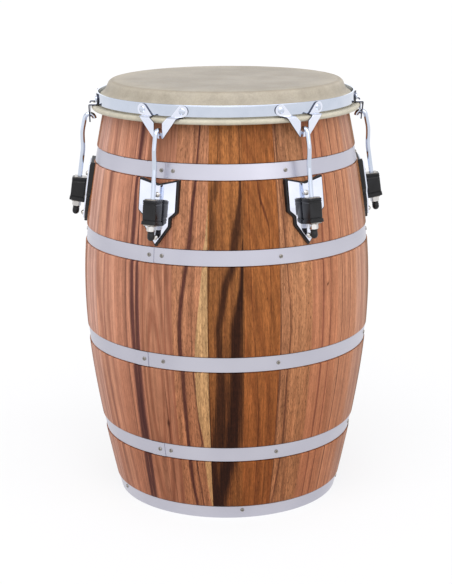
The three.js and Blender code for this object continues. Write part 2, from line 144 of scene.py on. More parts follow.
PLATE_WAIST = 0.043
PLATE_TALL = 0.1
PLATE_THICKNESS = 0.0025
PLATE_NOTCH = 0.008
PLATE_CORNER = 0.0016
PLATE_SIDE_END_SHARE = 0.475
PLATE_WAIST_START_SHARE = 0.572
PLATE_WAIST_END_SHARE = 0.703
GASKET_THICKNESS = 0.004
GASKET_MARGIN = 0.00275
GASKET_CORNER = 0.0018
GASKET_ROUND = 0.0006
BOLT_RADIUS = 0.0025
BOLT_HEAD_RADIUS = 0.0043
BOLT_HEAD_TALL = 0.0043
BOLT_HEAD_EDGE = 0.0008
BOLT_WASHER_RADIUS = 0.007
BOLT_WASHER_THICKNESS = 0.0015
BOLT_NUT_RADIUS = 0.0047
BOLT_NUT_TALL = 0.0045
BOLT_PLACE_SHARES = [0.28, -0.4]
BRACKET_THICKNESS = 0.0022
BRACKET_STANDOFF = 0.0107
BRACKET_DROP = 0.0331
BRACKET_FOOT_WIDTH = 0.017
BRACKET_BEND = 0.0017
SLOT_WIDTH = 0.015
SLOT_TALL = 0.024
FOLD_SPREADS = (0.017, 0.0318)
EAR_RADIUS = 0.009
EAR_START = radians(-68)
EAR_END = radians(141)
RIVET_SPREAD = 0.0357
RIVET_RADIUS = 0.0052
RIVET_TALL = 0.0021

# Smoothness
SIDES = 256
ROD_SIDES = 24
MERGE = 1e-6

# Camera of the photograph
CAMERA_BACK = 2.545
CAMERA_HEIGHT = 1.0004
CAMERA_PITCH = radians(14.536)
CAMERA_ROLL = radians(-0.357)
CAMERA_YAW = radians(0.034)
CAMERA_LENS = 93.415
CAMERA_FILM = 36


def new_object(name, data):
    made = bpy.data.objects.new(name, data)
    bpy.context.scene.collection.objects.link(made)
    return made


# Camera

def make_camera():
    data = bpy.data.cameras.new("camera")
    data.sensor_fit = "VERTICAL"
    data.sensor_height = CAMERA_FILM
    data.lens = CAMERA_LENS
    camera = new_object("camera", data)
    camera.matrix_world = (
        Matrix.Translation((0, -CAMERA_BACK, CAMERA_HEIGHT)) @ Matrix.Rotation(CAMERA_YAW, 4, "Z")
        @ Matrix.Rotation(pi / 2 - CAMERA_PITCH, 4, "X") @ Matrix.Rotation(CAMERA_ROLL, 4, "Z"))
    bpy.context.scene.camera = camera


make_camera()
bpy.context.scene.view_settings.view_transform = "Standard"


# Materials

def srgb(red, green, blue):
    """A colour given in 0 to 255 as a linear one."""
    values = [c / 255 for c in (red, green, blue)]
    return [c / 12.92 if c < 0.04045 else ((c + 0.055) / 1.055) ** 2.4 for c in values] + [1]


class Shader:
    """The nodes of a material or a world, with one shader on its output."""

    def __init__(self, owner, output="Material", kind="BsdfPrincipled", **values):
        self.owner = owner
        owner.use_nodes = True
        self.tree = owner.node_tree
        self.tree.nodes.clear()
        self.shader = self.add(kind)
        self.add("Output" + output, {"Surface": self.shader.outputs[0]})
        for key, value in values.items():
            self.set(key.replace("_", " "), value)

    def put(self, socket, value):
        if isinstance(value, bpy.types.NodeSocket):
            self.tree.links.new(value, socket)
        else:
            socket.default_value = value

    def set(self, key, value):
        self.put(self.shader.inputs[key], value)

    def add(self, kind, inputs=(), **settings):
        node = self.tree.nodes.new("ShaderNode" + kind)
        for key, value in settings.items():
            setattr(node, key, value)
        for key, value in dict(inputs).items():
            self.put(node.inputs[key], value)
        return node

    def attribute(self, name, output="Fac"):
        return self.add("Attribute", attribute_name=name).outputs[output]

    def place(self, kind="Object"):
        return self.add("TexCoord").outputs[kind]

    def split(self, vector):
        return self.add("SeparateXYZ", {0: vector}).outputs[:]

    def scaled(self, vector, scales):
        return self.add("VectorMath", {0: vector, 1: scales}, operation="MULTIPLY").outputs[0]

    def noise(self, vector, scale=1.0, detail=2.0, roughness=0.5):
        inputs = {"Vector": vector, "Scale": scale, "Detail": detail, "Roughness": roughness}
        return self.add("TexNoise", inputs).outputs["Fac"]

    def line_noise(self, value):
        inputs = {"W": value, "Scale": 1.0, "Detail": 2.0, "Roughness": 0.5}
        return self.add("TexNoise", inputs, noise_dimensions="1D").outputs["Fac"]

    def math(self, operation, a, b=0.0):
        return self.add("Math", {0: a, 1: b}, operation=operation).outputs[0]

    def times(self, value, *others):
        for other in others:
            value = self.math("MULTIPLY", value, other)
        return value

    def span(self, value, start, end, low=0.0, high=1.0):
        inputs = {"Value": value, "From Min": start, "From Max": end, "To Min": low, "To Max": high}
        return self.add("MapRange", inputs, interpolation_type="SMOOTHSTEP").outputs[0]

    def mix(self, factor, a, b, blend="MIX"):
        return self.add(
            "Mix", {0: factor, 6: a, 7: b}, data_type="RGBA", blend_type=blend).outputs[2]

    def tones(self, value, light, dark, start=0.3, end=0.7):
        """Two colours of 0 to 255, the second where the value is high."""
        return self.mix(self.span(value, start, end), srgb(*light), srgb(*dark))

    def shade(self, colour, value):
        """The colour made lighter or darker by a value round 1."""
        grey = self.add("CombineColor", {0: value, 1: value, 2: value}).outputs[0]
        return self.mix(1.0, colour, grey, "MULTIPLY")

    def bump(self, height, strength, distance=0.0001):
        inputs = {"Height": height, "Strength": strength, "Distance": distance}
        self.set("Normal", self.add("Bump", inputs).outputs["Normal"])


def material_shader(name, **values):
    return Shader(bpy.data.materials.new(name), **values)


# How much light the wood gives back against the tones named for it, as a whole and at its foot,
# the foot's tint, and the heights where foot, middle and top begin. The darker, warmer foot is
# painted shade, as light falls from above.
WOOD_LEVEL = 0.8
FOOT_PAINTED_SHADE_LEVEL = 0.8
FOOT_PAINTED_SHADE_TINT = (1.0, 0.88, 0.78, 1)
WOOD_FOOT, WOOD_MIDDLE, WOOD_TOP = 0.08, 0.42, 0.62


def wood_material():
    shader = material_shader("stave_wood", IOR=1.45, Specular_IOR_Level=0.1)
    grain = shader.attribute("grain_place", "Vector")
    ring = shader.attribute("ring")
    banded, porous, flecked = shader.split(shader.attribute("figure", "Vector"))

    def along_grain(across, along, detail=2, roughness=0.5):
        return shader.noise(
            shader.scaled(grain, (across, along, 1)), detail=detail, roughness=roughness)

    fibre = along_grain(620, 8, 4, 0.65)
    fleck = along_grain(720, 110, 3, 0.65)
    broad = shader.span(shader.line_noise(shader.times(ring, 0.1)), 0.36, 0.68)
    narrow = shader.span(shader.line_noise(shader.times(ring, 0.55)), 0.5, 0.74)
    bands = shader.math("MAXIMUM", broad, shader.times(narrow, 0.6))
    bands = shader.times(bands, banded, shader.span(fibre, 0.3, 0.7, 0.7, 1.2))
    colour = shader.mix(
        bands, shader.attribute("light", "Color"), shader.attribute("dark", "Color"))

    edge = shader.times(shader.math("SUBTRACT", fibre, 0.5), 1.3)
    streaks = shader.split(shader.attribute("streak_place", "Vector"))
    strengths = shader.split(shader.attribute("streak_strength", "Vector"))
    streak_colour = shader.attribute("streak_colour", "Color")
    for streak, strength in zip(streaks, strengths):
        away = shader.math("ADD", shader.math("ABSOLUTE", streak), edge)
        inside = shader.span(away, 1.5, 0.35)
        colour = shader.mix(shader.times(inside, strength), colour, streak_colour)
    sapwood = shader.math("ADD", shader.attribute("sapwood"), shader.times(edge, 0.001))
    colour = shader.mix(shader.span(sapwood, -0.0008, 0.0009), colour, srgb(190, 150, 106))

    specks = shader.times(shader.math("SUBTRACT", fleck, 0.5), flecked)
    colour = shader.shade(colour, shader.times(
        shader.span(along_grain(170, 3.2), 0.3, 0.7, 0.88, 1.12),
        shader.span(fibre, 0.25, 0.75, 0.7, 1.27),
        shader.span(along_grain(95, 34), 0.3, 0.7, 0.94, 1.07),
        shader.math("ADD", specks, 1.0)))
    hole = shader.times(shader.span(along_grain(1300, 150, 1), 0.62, 0.74), porous)
    colour = shader.mix(hole, colour, srgb(70, 38, 24))
    colour = shader.mix(
        shader.span(shader.attribute("knot"), 0.2, 0.9), colour, srgb(58, 26, 16))

    # Painted shade and light: the wood is made darker and warmer towards its foot, and each stave
    # lighter towards its top by its rise, as light falls from above.
    height = shader.split(grain)[1]
    level = shader.span(height, WOOD_FOOT, WOOD_MIDDLE, WOOD_LEVEL * FOOT_PAINTED_SHADE_LEVEL, WOOD_LEVEL)
    lighter = shader.times(
        shader.span(height, WOOD_MIDDLE, WOOD_TOP), shader.attribute("rise"))
    tint = shader.mix(shader.span(height, WOOD_FOOT, WOOD_MIDDLE), FOOT_PAINTED_SHADE_TINT, (1, 1, 1, 1))
    colour = shader.mix(1.0, colour, tint, "MULTIPLY")
    level = shader.times(level, shader.math("ADD", lighter, 1.0))
    shader.set("Base Color", shader.shade(colour, level))
    shader.set("Roughness", shader.span(fibre, 0.2, 0.8, 0.52, 0.4))
    shader.bump(shader.math("SUBTRACT", shader.times(fibre, 0.35), hole), 0.2, 0.0002)
    return shader.owner


def band_material():
    shader = material_shader("band_steel", Metallic=1.0)
    place = shader.place()
    brushed = shader.noise(shader.scaled(place, (7, 7, 1500)), detail=3)
    shader.set("Base Color", shader.tones(
        shader.noise(place, 9), (194, 193, 203), (186, 185, 196)))
    shader.set("Roughness", shader.span(brushed, 0.3, 0.7, 0.3, 0.38))
    shader.bump(brushed, 0.05)
    return shader.owner


def plain_material(name, light, dark, patches, gloss, tone_span=(0.35, 0.7), gloss_span=(0.3, 0.7),
                   grit=None, relief=0.0, gritty_gloss=False, **values):
    """A finish in soft patches of two tones, whose gloss differs between two roughnesses.
    Patches and grit are the scales of its patches and of its fine relief."""
    shader = material_shader(name, **values)
    place = shader.place()
    cloud = shader.noise(place, patches, 3)
    sheen = cloud
    shader.set("Base Color", shader.tones(cloud, light, dark, *tone_span))
    if grit:
        fine = shader.noise(place, grit, 3)
        shader.bump(fine, relief)
        if gritty_gloss:
            sheen = fine
    shader.set("Roughness", shader.span(sheen, *gloss_span, *gloss))
    return shader.owner


def chrome_material(name, light, dark):
    return plain_material(name, light, dark, 38, (0.035, 0.09), (0.3, 0.7), (0.35, 0.7), Metallic=1.0)


def rawhide_material():
    shader = material_shader("rawhide", IOR=1.45)
    place = shader.place()
    cloud = shader.noise(place, 11, 4, 0.6)
    mottle = shader.noise(place, 60, 4, 0.65)
    x, y, _ = shader.split(place)
    flat = shader.add("CombineXYZ", {0: x, 1: y}).outputs[0]
    radius = shader.add("VectorMath", {0: flat}, operation="LENGTH").outputs["Value"]
    crown = shader.tones(cloud, (161, 153, 141), (146, 138, 126))
    skirt = shader.tones(cloud, (169, 160, 145), (154, 145, 129))
    bead = shader.tones(cloud, (185, 179, 162), (174, 167, 149))
    colour = shader.mix(shader.span(radius, 0.15, 0.197), crown, skirt)
    colour = shader.mix(shader.span(radius, 0.2035, 0.209), colour, bead)
    crease = shader.times(
        shader.span(radius, 0.1855, 0.1885), shader.span(radius, 0.1945, 0.191), 0.3)
    colour = shader.mix(crease, colour, srgb(128, 116, 98))
    colour = shader.shade(colour, shader.span(mottle, 0.3, 0.7, 0.92, 1.06))
    colour = shader.shade(colour, shader.span(shader.noise(place, 420), 0.3, 0.7, 0.94, 1.05))
    shader.set("Base Color", colour)
    shader.set("Roughness", shader.span(mottle, 0.3, 0.7, 0.52, 0.66))
    shader.bump(shader.math("ADD", shader.noise(place, 700, 3), mottle), 0.15, 0.0002)
    return shader.owner


def floor_material():
    shader = material_shader("floor", Roughness=0.9, Specular_IOR_Level=0.0, Emission_Strength=0.76)
    shader.set("Base Color", shader.mix(
        shader.noise(shader.place(), 3, 3), srgb(120, 120, 121), srgb(117, 117, 119)))
    shader.set("Emission Color", srgb(255, 255, 255))
    return shader.owner


WOOD = wood_material()
BAND_STEEL = band_material()
CHROME = chrome_material("chrome", (206, 213, 226), (199, 207, 221))
# The chrome of the plates and brackets, the same chrome painted brighter: a painted reflection of the
# bright room.
CHROME_PAINTED_BRIGHT = chrome_material("chrome_painted_bright", (233, 236, 247), (225, 230, 244))
NUT_CHROME = chrome_material("nut_chrome", (222, 219, 216), (193, 190, 187))
# The sheared edge of a plated sheet, duller than its face and painted darker besides: painted shade
# in the gap beside the edge and a painted dark reflection
CUT_EDGE_PAINTED_SHADE = plain_material(
    "cut_edge_painted_shade", (88, 91, 104), (62, 64, 75), 600, (0.28, 0.42), (0.3, 0.7), Metallic=1.0)
STEEL = plain_material(
    "plain_steel", (212, 209, 204), (178, 172, 164), 120, (0.2, 0.36), grit=900, relief=0.08,
    gritty_gloss=True, Metallic=1.0)
# Screws and cores of duller steel
DARK_STEEL = plain_material(
    "dark_steel", (162, 157, 150), (118, 114, 109), 240, (0.16, 0.3), Metallic=1.0)
RUBBER = plain_material(
    "black_rubber", (12, 12, 14), (20, 20, 23), 70, (0.26, 0.4), (0.35, 0.75), grit=1400,
    relief=0.12, IOR=1.5, Specular_IOR_Level=0.35)
RAWHIDE = rawhide_material()


# Meshes

def shaded(mesh, degrees):
    mesh.shade_smooth()
    mesh.set_sharp_from_angle(angle=radians(degrees))
    return mesh


def build_mesh(name, points, faces, smooth=35):
    """A mesh with shared points merged, its faces turned outwards and sharp edges kept."""
    mesh = bpy.data.meshes.new(name)
    mesh.from_pydata([tuple(p) for p in points], [], faces)
    tidy = bmesh.new()
    tidy.from_mesh(mesh)
    bmesh.ops.remove_doubles(tidy, verts=tidy.verts, dist=MERGE)
    bmesh.ops.dissolve_degenerate(tidy, edges=tidy.edges, dist=MERGE)
    bmesh.ops.recalc_face_normals(tidy, faces=tidy.faces)
    tidy.to_mesh(mesh)
    tidy.free()
    return shaded(mesh, smooth)


def add_piece(name, mesh, material, body, matrix=Matrix.Identity(4), nodes=()):
    """A piece of the drum that rides on a body and stands for the CAD nodes given."""
    if not mesh.materials:
        mesh.materials.append(material)
    piece = new_object(name, mesh)
    piece.matrix_world = matrix
    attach(piece, body)
    if nodes:
        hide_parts(*nodes)
    return piece


def modified(mesh, *modifiers, smooth=35):
    """The mesh with modifiers applied, each a kind and its settings."""
    carrier = new_object("carrier", mesh)
    for kind, settings in modifiers:
        modifier = carrier.modifiers.new(kind, kind)
        for key, value in settings.items():
            setattr(modifier, key, value)
    evaluated = carrier.evaluated_get(bpy.context.evaluated_depsgraph_get())
    result = bpy.data.meshes.new_from_object(evaluated)
    bpy.data.objects.remove(carrier)
    return shaded(result, smooth)


def bevel(width, segments, angle=40):
    return "BEVEL", {
        "width": width, "segments": segments, "limit_method": "ANGLE",
        "angle_limit": radians(angle), "harden_normals": False}


def quarter(count):
    return np.linspace(0, pi / 2, count)


def whole_turn(count):
    return np.linspace(0, 2 * pi, count, endpoint=False)


def arc(centre, radius, start, end, steps):
    turns = np.linspace(start, end, steps + 1)
    return [(centre[0] + radius * cos(a), centre[1] + radius * sin(a)) for a in turns]


def bezier(a, b, c, d, steps):
    points = []
    for t in np.linspace(0, 1, steps + 1):
        s = 1 - t
        weights = (s ** 3, 3 * s * s * t, 3 * s * t * t, t ** 3)
        points.append(tuple(sum(w * p[i] for w, p in zip(weights, (a, b, c, d)))
                            for i in range(len(a))))
    return points


def ring_faces(rings, count, closed=True):
    """Faces between rings of the same count, and between the last and the first if closed."""
    faces = []
    for i in range(rings if closed else rings - 1):
        here, there = i * count, (i + 1) % rings * count
        for j in range(count):
            k = (j + 1) % count
            faces.append((here + j, here + k, there + k, there + j))
    return faces


def revolve(name, outline, sides=SIDES, smooth=35):
    """A closed outline of (radius, height) points turned about Z."""
    points = [(r * sin(t), -r * cos(t), z) for t in whole_turn(sides) for r, z in outline]
    return build_mesh(name, points, ring_faces(sides, len(outline)), smooth)


def loft(name, sections, smooth=35):
    """Closed sections of the same count joined one to the next, with both ends filled."""
    count = len(sections[0])
    points = [p for section in sections for p in section]
    last = len(points) - count
    faces = ring_faces(len(sections), count, closed=False)
    faces += [tuple(range(count)), tuple(reversed(range(last, last + count)))]
    return build_mesh(name, points, faces, smooth)


def offset_line(points, distance, closed=False):
    """Each point of a line moved to the left of its direction of travel."""
    line = [Vector(p) for p in points]
    last = len(line) - 1
    moved = []
    for i, point in enumerate(line):
        before = line[i - 1] if i > 0 or closed else None
        after = line[(i + 1) % len(line)] if i < last or closed else None
        inward = (point - before).normalized() if before is not None else None
        onward = (after - point).normalized() if after is not None else None
        inward = inward or onward
        onward = onward or inward
        side = Vector((-inward.y, inward.x))
        middle = (Vector((-onward.y, onward.x)) + side).normalized()
        moved.append(tuple(point + middle * (distance / middle.dot(side))))
    return moved


def turned_corner(before, corner, after, radius, steps):
    """A short curve that takes the place of a corner."""
    start = corner + (before - corner).normalized() * radius
    end = corner + (after - corner).normalized() * radius
    return [tuple(start * (1 - t) ** 2 + corner * 2 * t * (1 - t) + end * t * t)
            for t in np.linspace(0, 1, steps + 1)]


def rounded(points, radius):
    """A closed outline with all its corners turned."""
    line = [Vector(p) for p in points]
    result = []
    for i, corner in enumerate(line):
        result += turned_corner(line[i - 1], corner, line[(i + 1) % len(line)], radius, 4)
    return result


def softened(points, radius):
    """An open line with its inner corners turned."""
    line = [Vector(p) for p in points]
    result = [tuple(line[0])]
    for before, corner, after in zip(line, line[1:], line[2:]):
        result += turned_corner(before, corner, after, radius, 6)
    return result + [tuple(line[-1])]


# Barrel shell

def radius_at(height):
    above = height > BELLY_HEIGHT
    span = SHELL_HEIGHT - BELLY_HEIGHT if above else BELLY_HEIGHT
    end = TOP_RADIUS if above else FOOT_RADIUS
    reach = abs(height - BELLY_HEIGHT) / span
    full = hypot(1, 1 / CURVE_SHARE) - 1
    return BELLY_RADIUS - (BELLY_RADIUS - end) * (hypot(1, reach / CURVE_SHARE) - 1) / full


BAND_BOTTOMS = [share * SHELL_HEIGHT - BAND_WIDTH / 2 for share in BAND_CENTRE_SHARES]
ROUND_CENTRE = (TOP_RADIUS - BEARING_ROUND, SHELL_HEIGHT - BEARING_ROUND)


def wood_rows():
    """The outside of the wood as (radius, height) points from the foot up, with its grooves."""
    starts = [FOOT_BAND_WIDTH] + [z + BAND_WIDTH for z in BAND_BOTTOMS]
    ends = BAND_BOTTOMS + [SHELL_HEIGHT - BEARING_DEPTH]
    ease = EDGE_ROUND * 0.3
    rows = [(radius_at(0) - GROOVE, 0)]
    for start, end in zip(starts, ends):
        top = end == ends[-1]
        low, high = start + GAP_OVER_BAND, end - (CLEARANCE if top else GAP_UNDER_BAND)
        rows += [(radius_at(low) - GROOVE, low), (radius_at(low) - EDGE_ROUND, low),
                 (radius_at(low) - ease, low + ease)]
        count = round((high - low) / ROW_STEP)
        rows += [(radius_at(z), z) for z in np.linspace(low + EDGE_ROUND, high - EDGE_ROUND, count)]
        if not top:
            rows += [(radius_at(high) - ease, high - ease), (radius_at(high) - EDGE_ROUND, high),
                     (radius_at(high) - GROOVE, high)]
    return rows + arc(ROUND_CENTRE, BEARING_ROUND, SHOULDER_END, pi / 2, 8)


# What each stave looks like, by its place round the drum from the front one.
# Colours are 0 to 255. A cut is the log's centre across the stave and its depth below it
# in millimetres, and how fast that depth changes in millimetres a metre.
# Figure is the strength of its bands, of its pores and of its flecks. Dark is the colour
# of its streaks. A streak is a strength and a list of heights, places across the stave and
# half widths. These are in millimetres, hundredths of the stave's half width and tenths of a
# millimetre, as are the height and place of sapwood and the height, place and size of knots.
STOP_UNITS = np.array((1000, 100, 10000))
GOLD = ((172, 112, 60), (104, 58, 30))
ORANGE = ((184, 116, 68), (136, 76, 42))
PINK = ((200, 132, 90), (158, 92, 60))
BROWN = ((168, 104, 64), (112, 62, 38))
BLACK_BROWN = (38, 16, 10)

# A stave's rise is painted light: how much lighter it is made towards its top, where light falls from
# above.
STAVE_LOOKS = {
    0: dict(
        tone=((146, 92, 50), (98, 56, 32)), cut=(-60, 60, 30), figure=(0.7, 0.6, 2.0),
        dark=BLACK_BROWN, rise=0.42,
        streaks=[
            (0.86, [(30, -85, 60), (100, -80, 80), (140, -55, 125), (168, -40, 120),
                    (222, -30, 98), (266, -32, 75), (298, -38, 58), (343, -41, 55),
                    (376, -21, 60), (407, -5, 70), (442, 34, 78), (493, 57, 80),
                    (524, 73, 50), (555, 84, 30), (600, 85, 5)]),
            (0.95, [(26, -50, 105), (51, -40, 125), (74, -25, 150), (103, 5, 149),
                    (149, 37, 165), (186, 51, 140), (265, 54, 128), (308, 55, 118),
                    (343, 58, 110), (376, 72, 80), (408, 85, 40), (441, 88, 28),
                    (469, 92, 14), (490, 95, 3), (700, 97, 2)]),
            (0.62, [(20, -97, 10), (265, -98, 16), (390, -96, 16), (441, -93, 25),
                    (478, -77, 70), (509, -75, 65), (540, -81, 50), (563, -60, 75),
                    (580, -50, 60), (610, -45, 8), (700, -40, 3)]),
        ]),
    1: dict(
        tone=((158, 96, 51), (124, 70, 36)), cut=(-60, 60, 200), figure=(0.7, 0.5, 1.5),
        dark=(84, 40, 24),
        streaks=[
            (0.8, [(500, 45, 4), (511, 39, 12), (530, 19, 21), (546, 1, 20), (566, -10, 16),
                   (600, -20, 4)]),
            (0.5, [(30, -10, 10), (200, -15, 10), (400, -62, 8), (650, -70, 8)]),
            (0.7, [(100, 105, 10), (180, 97, 16), (260, 102, 10), (400, 110, 10)]),
        ],
        knots=[(390, 28, 14)]),
    2: dict(
        tone=((184, 128, 90), (142, 92, 62)), cut=(-90, 80, 15), figure=(0.55, 0.9, 1.8),
        dark=(96, 56, 42), rise=-0.06,
        streaks=[
            (0.75, [(29, -81, 20), (76, -63, 16), (141, -45, 13), (196, -49, 13), (258, -51, 13),
                    (335, -37, 10), (384, -45, 10), (433, -56, 10), (567, -82, 13),
                    (650, -85, 16)]),
            (0.7, [(30, -100, 10), (144, -100, 20), (265, -94, 20), (400, -100, 10),
                   (650, -97, 10)]),
            (0.35, [(30, 0, 30), (250, -70, 60), (400, -75, 60), (550, -60, 50),
                    (650, -30, 40)]),
        ],
        knots=[(350, 83, 14)]),
    3: dict(
        tone=((190, 127, 93), (152, 96, 70)), cut=(120, 70, 20), figure=(0.5, 0.5, 0.9),
        dark=(124, 68, 54),
        streaks=[
            (0.75, [(50, -30, 14), (375, -19, 18), (650, 0, 16)]),
            (0.8, [(50, 30, 8), (355, 37, 10), (650, 50, 10)]),
        ],
        knots=[(365, 44, 13), (400, 13, 13)]),
    # Staves 4 and 5 have their own tones, made lighter and pinker besides as a painted sheen where
    # the drum turns away to the side.
    4: dict(
        tone=((200, 140, 105), (160, 102, 76)), cut=(100, 60, 10), figure=(0.5, 0.4, 0.8),
        dark=(96, 48, 38),
        streaks=[
            (0.85, [(50, -75, 10), (315, -62, 11), (371, -63, 11), (650, -55, 12)]),
            (0.5, [(50, 10, 10), (380, 20, 11), (650, 30, 12)]),
        ]),
    5: dict(
        tone=((196, 146, 120), (164, 112, 90)), cut=(-80, 60, 20), figure=(0.7, 0.4, 0.4),
        dark=(140, 84, 68)),
    -1: dict(
        tone=((184, 126, 92), (134, 86, 62)), cut=(-110, 70, -20), figure=(0.6, 0.8, 1.8),
        dark=(74, 38, 36),
        streaks=[
            (0.9, [(20, -10, 24), (33, -14, 26), (71, -30, 33), (105, -37, 36), (156, -39, 33),
                   (203, -43, 40), (263, -46, 43), (310, -56, 41), (347, -58, 40),
                   (388, -45, 38), (429, -25, 38), (476, -5, 41), (508, 4, 33), (537, 10, 30),
                   (562, 22, 25), (608, 33, 16), (656, 43, 13)]),
            (0.75, [(20, 35, 12), (34, 30, 13), (106, 7, 14), (143, 50, 4), (300, 10, 3)]),
            (0.75, [(120, 55, 3), (143, 50, 12), (167, 38, 14), (220, 29, 13), (264, 15, 12),
                    (300, 10, 4), (400, 10, 3)]),
        ],
        sapwood=[(20, 95), (35, 86), (64, 71), (108, 59), (149, 57), (185, 36), (227, 25),
                 (264, 24), (315, 29), (349, 40), (374, 49), (406, 61), (441, 71), (470, 76),
                 (485, 86), (509, 92), (560, 105)]),
    -2: dict(
        tone=((182, 126, 98), (146, 92, 70)), cut=(-8, 12, 95), figure=(1.0, 0.2, 0.35),
        dark=(90, 46, 34),
        streaks=[
            (0.7, [(130, 42, 4), (160, 42, 20), (200, 40, 14), (240, 38, 3)]),
            (0.35, [(30, 10, 30), (100, 30, 40), (200, 55, 20), (400, 60, 10)]),
        ],
        knots=[(173, 42, 26)]),
    -3: dict(
        tone=((194, 134, 106), (154, 102, 82)), cut=(70, 60, 25), figure=(0.6, 0.3, 0.8),
        dark=(76, 40, 42), rise=0.12,
        streaks=[
            (0.9, [(20, 20, 45), (44, 23, 50), (143, 38, 60), (213, 42, 60), (299, 47, 55),
                   (378, 43, 50), (427, 42, 47), (509, 43, 48), (556, 35, 30), (628, 42, 55),
                   (690, 45, 50)]),
            (0.9, [(20, 50, 35), (44, 53, 40), (143, 68, 50), (213, 70, 50), (299, 78, 42),
                   (427, 80, 35), (500, 80, 8), (690, 80, 3)]),
            (0.5, [(100, -10, 8), (380, -5, 12), (620, 0, 10)]),
        ]),
    # Staves -4 and -5 likewise have their own tones, made lighter and pinker besides as a painted
    # sheen where the drum turns away to the side.
    -4: dict(
        tone=((206, 148, 120), (170, 114, 92)), cut=(-40, 60, 45), figure=(0.8, 0.3, 0.4),
        dark=(126, 74, 66),
        streaks=[(0.6, [(50, -20, 10), (360, -5, 22), (450, 2, 25), (540, 0, 40),
                        (585, -10, 35), (600, -10, 5)])]),
    -5: dict(
        tone=((212, 162, 142), (184, 130, 112)), cut=(-90, 70, 25), figure=(0.7, 0.3, 0.4),
        dark=(140, 88, 74)),
}


def look_of(place, dice):
    """The look of one stave. The ones without a look of their own get one of four tones."""
    tone = dice.choice([GOLD, ORANGE, PINK, BROWN])
    across = dice.uniform(-120, 120)
    depth = dice.uniform(15, 90)
    tilt = dice.uniform(-60, 60)
    bands = dice.uniform(0.6, 1)
    strength = dice.choice([0, 0.6, 0.9])
    stops = [(height, 100 * dice.uniform(-0.8, 0.8), width)
             for height, width in ((20, 30), (360, 30), (700, 20))]
    look = dict(
        tone=tone, cut=(across, depth, tilt), figure=(bands, 0.5, 0.6), dark=BLACK_BROWN,
        streaks=[(strength, stops)])
    return STAVE_LOOKS.get(place, look)


def along_curve(stops, heights, index):
    """Places or half widths at the heights given, in shares of the half width or in metres."""
    table = np.array([stop[:2] if index == 1 else stop for stop in stops]) / (
        STOP_UNITS[:len(stops[0])] if index > 1 else STOP_UNITS[:2])
    return np.interp(heights, table[:, 0], table[:, index])


def stave_attributes(look, seed, across, heights, half_widths):
    """Values on the stave's grid that its material reads. Across and heights are grids."""
    centre, depth, tilt = look["cut"]
    warp = np.array([
        [noise.noise(Vector((u * 22, z * 3.2, seed))) * 3.2
         + noise.noise(Vector((u * 70, z * 9, seed + 5))) * 0.9
         for u, z in zip(row_u, row_z)]
        for row_u, row_z in zip(across, heights)])
    sway = np.array([noise.noise(Vector((seed, z * 2.2, 3))) * 9 for z in heights[:, 0]])[:, None]
    knot = np.zeros_like(across)
    bulge = np.zeros_like(across)
    for stop in look.get("knots", []):
        height, place, size = stop / STOP_UNITS
        u = across - place * half_widths
        z = heights - height
        knot = np.maximum(knot, 1 - np.hypot(u, z / 2.6) / (2 * size))
        bulge += 900 * size * np.exp(-(u / (4 * size)) ** 2 - (z / (14 * size)) ** 2)
    reach = depth + tilt * (heights - BELLY_HEIGHT)
    ring = np.hypot(across * 1000 - centre + sway, reach) + warp + bulge + seed * 37
    streaks = [np.full_like(across, 100.0)] * 3
    strengths = [0.0] * 3
    for i, (strength, stops) in enumerate(look.get("streaks", [])):
        middle = along_curve(stops, heights, 1) * half_widths
        streaks[i] = (across - middle + warp * 0.0003) / along_curve(stops, heights, 2)
        strengths[i] = strength
    sapwood = np.full_like(across, -1.0)
    if "sapwood" in look:
        sapwood = across - along_curve(look["sapwood"], heights, 1) * half_widths
    place = np.stack([across, heights, 0 * across + seed * 3.7], axis=-1)
    return strengths, dict(
        grain_place=place, ring=ring, knot=knot, sapwood=sapwood,
        streak_place=np.stack(streaks, axis=-1))


def set_attribute(mesh, name, values):
    kind, field = {
        1: ("FLOAT", "value"), 3: ("FLOAT_VECTOR", "vector"), 4: ("FLOAT_COLOR", "color"),
    }[values.shape[1]]
    attribute = mesh.attributes.new(name, kind, "POINT")
    attribute.data.foreach_set(field, np.ascontiguousarray(values, np.float32).ravel())


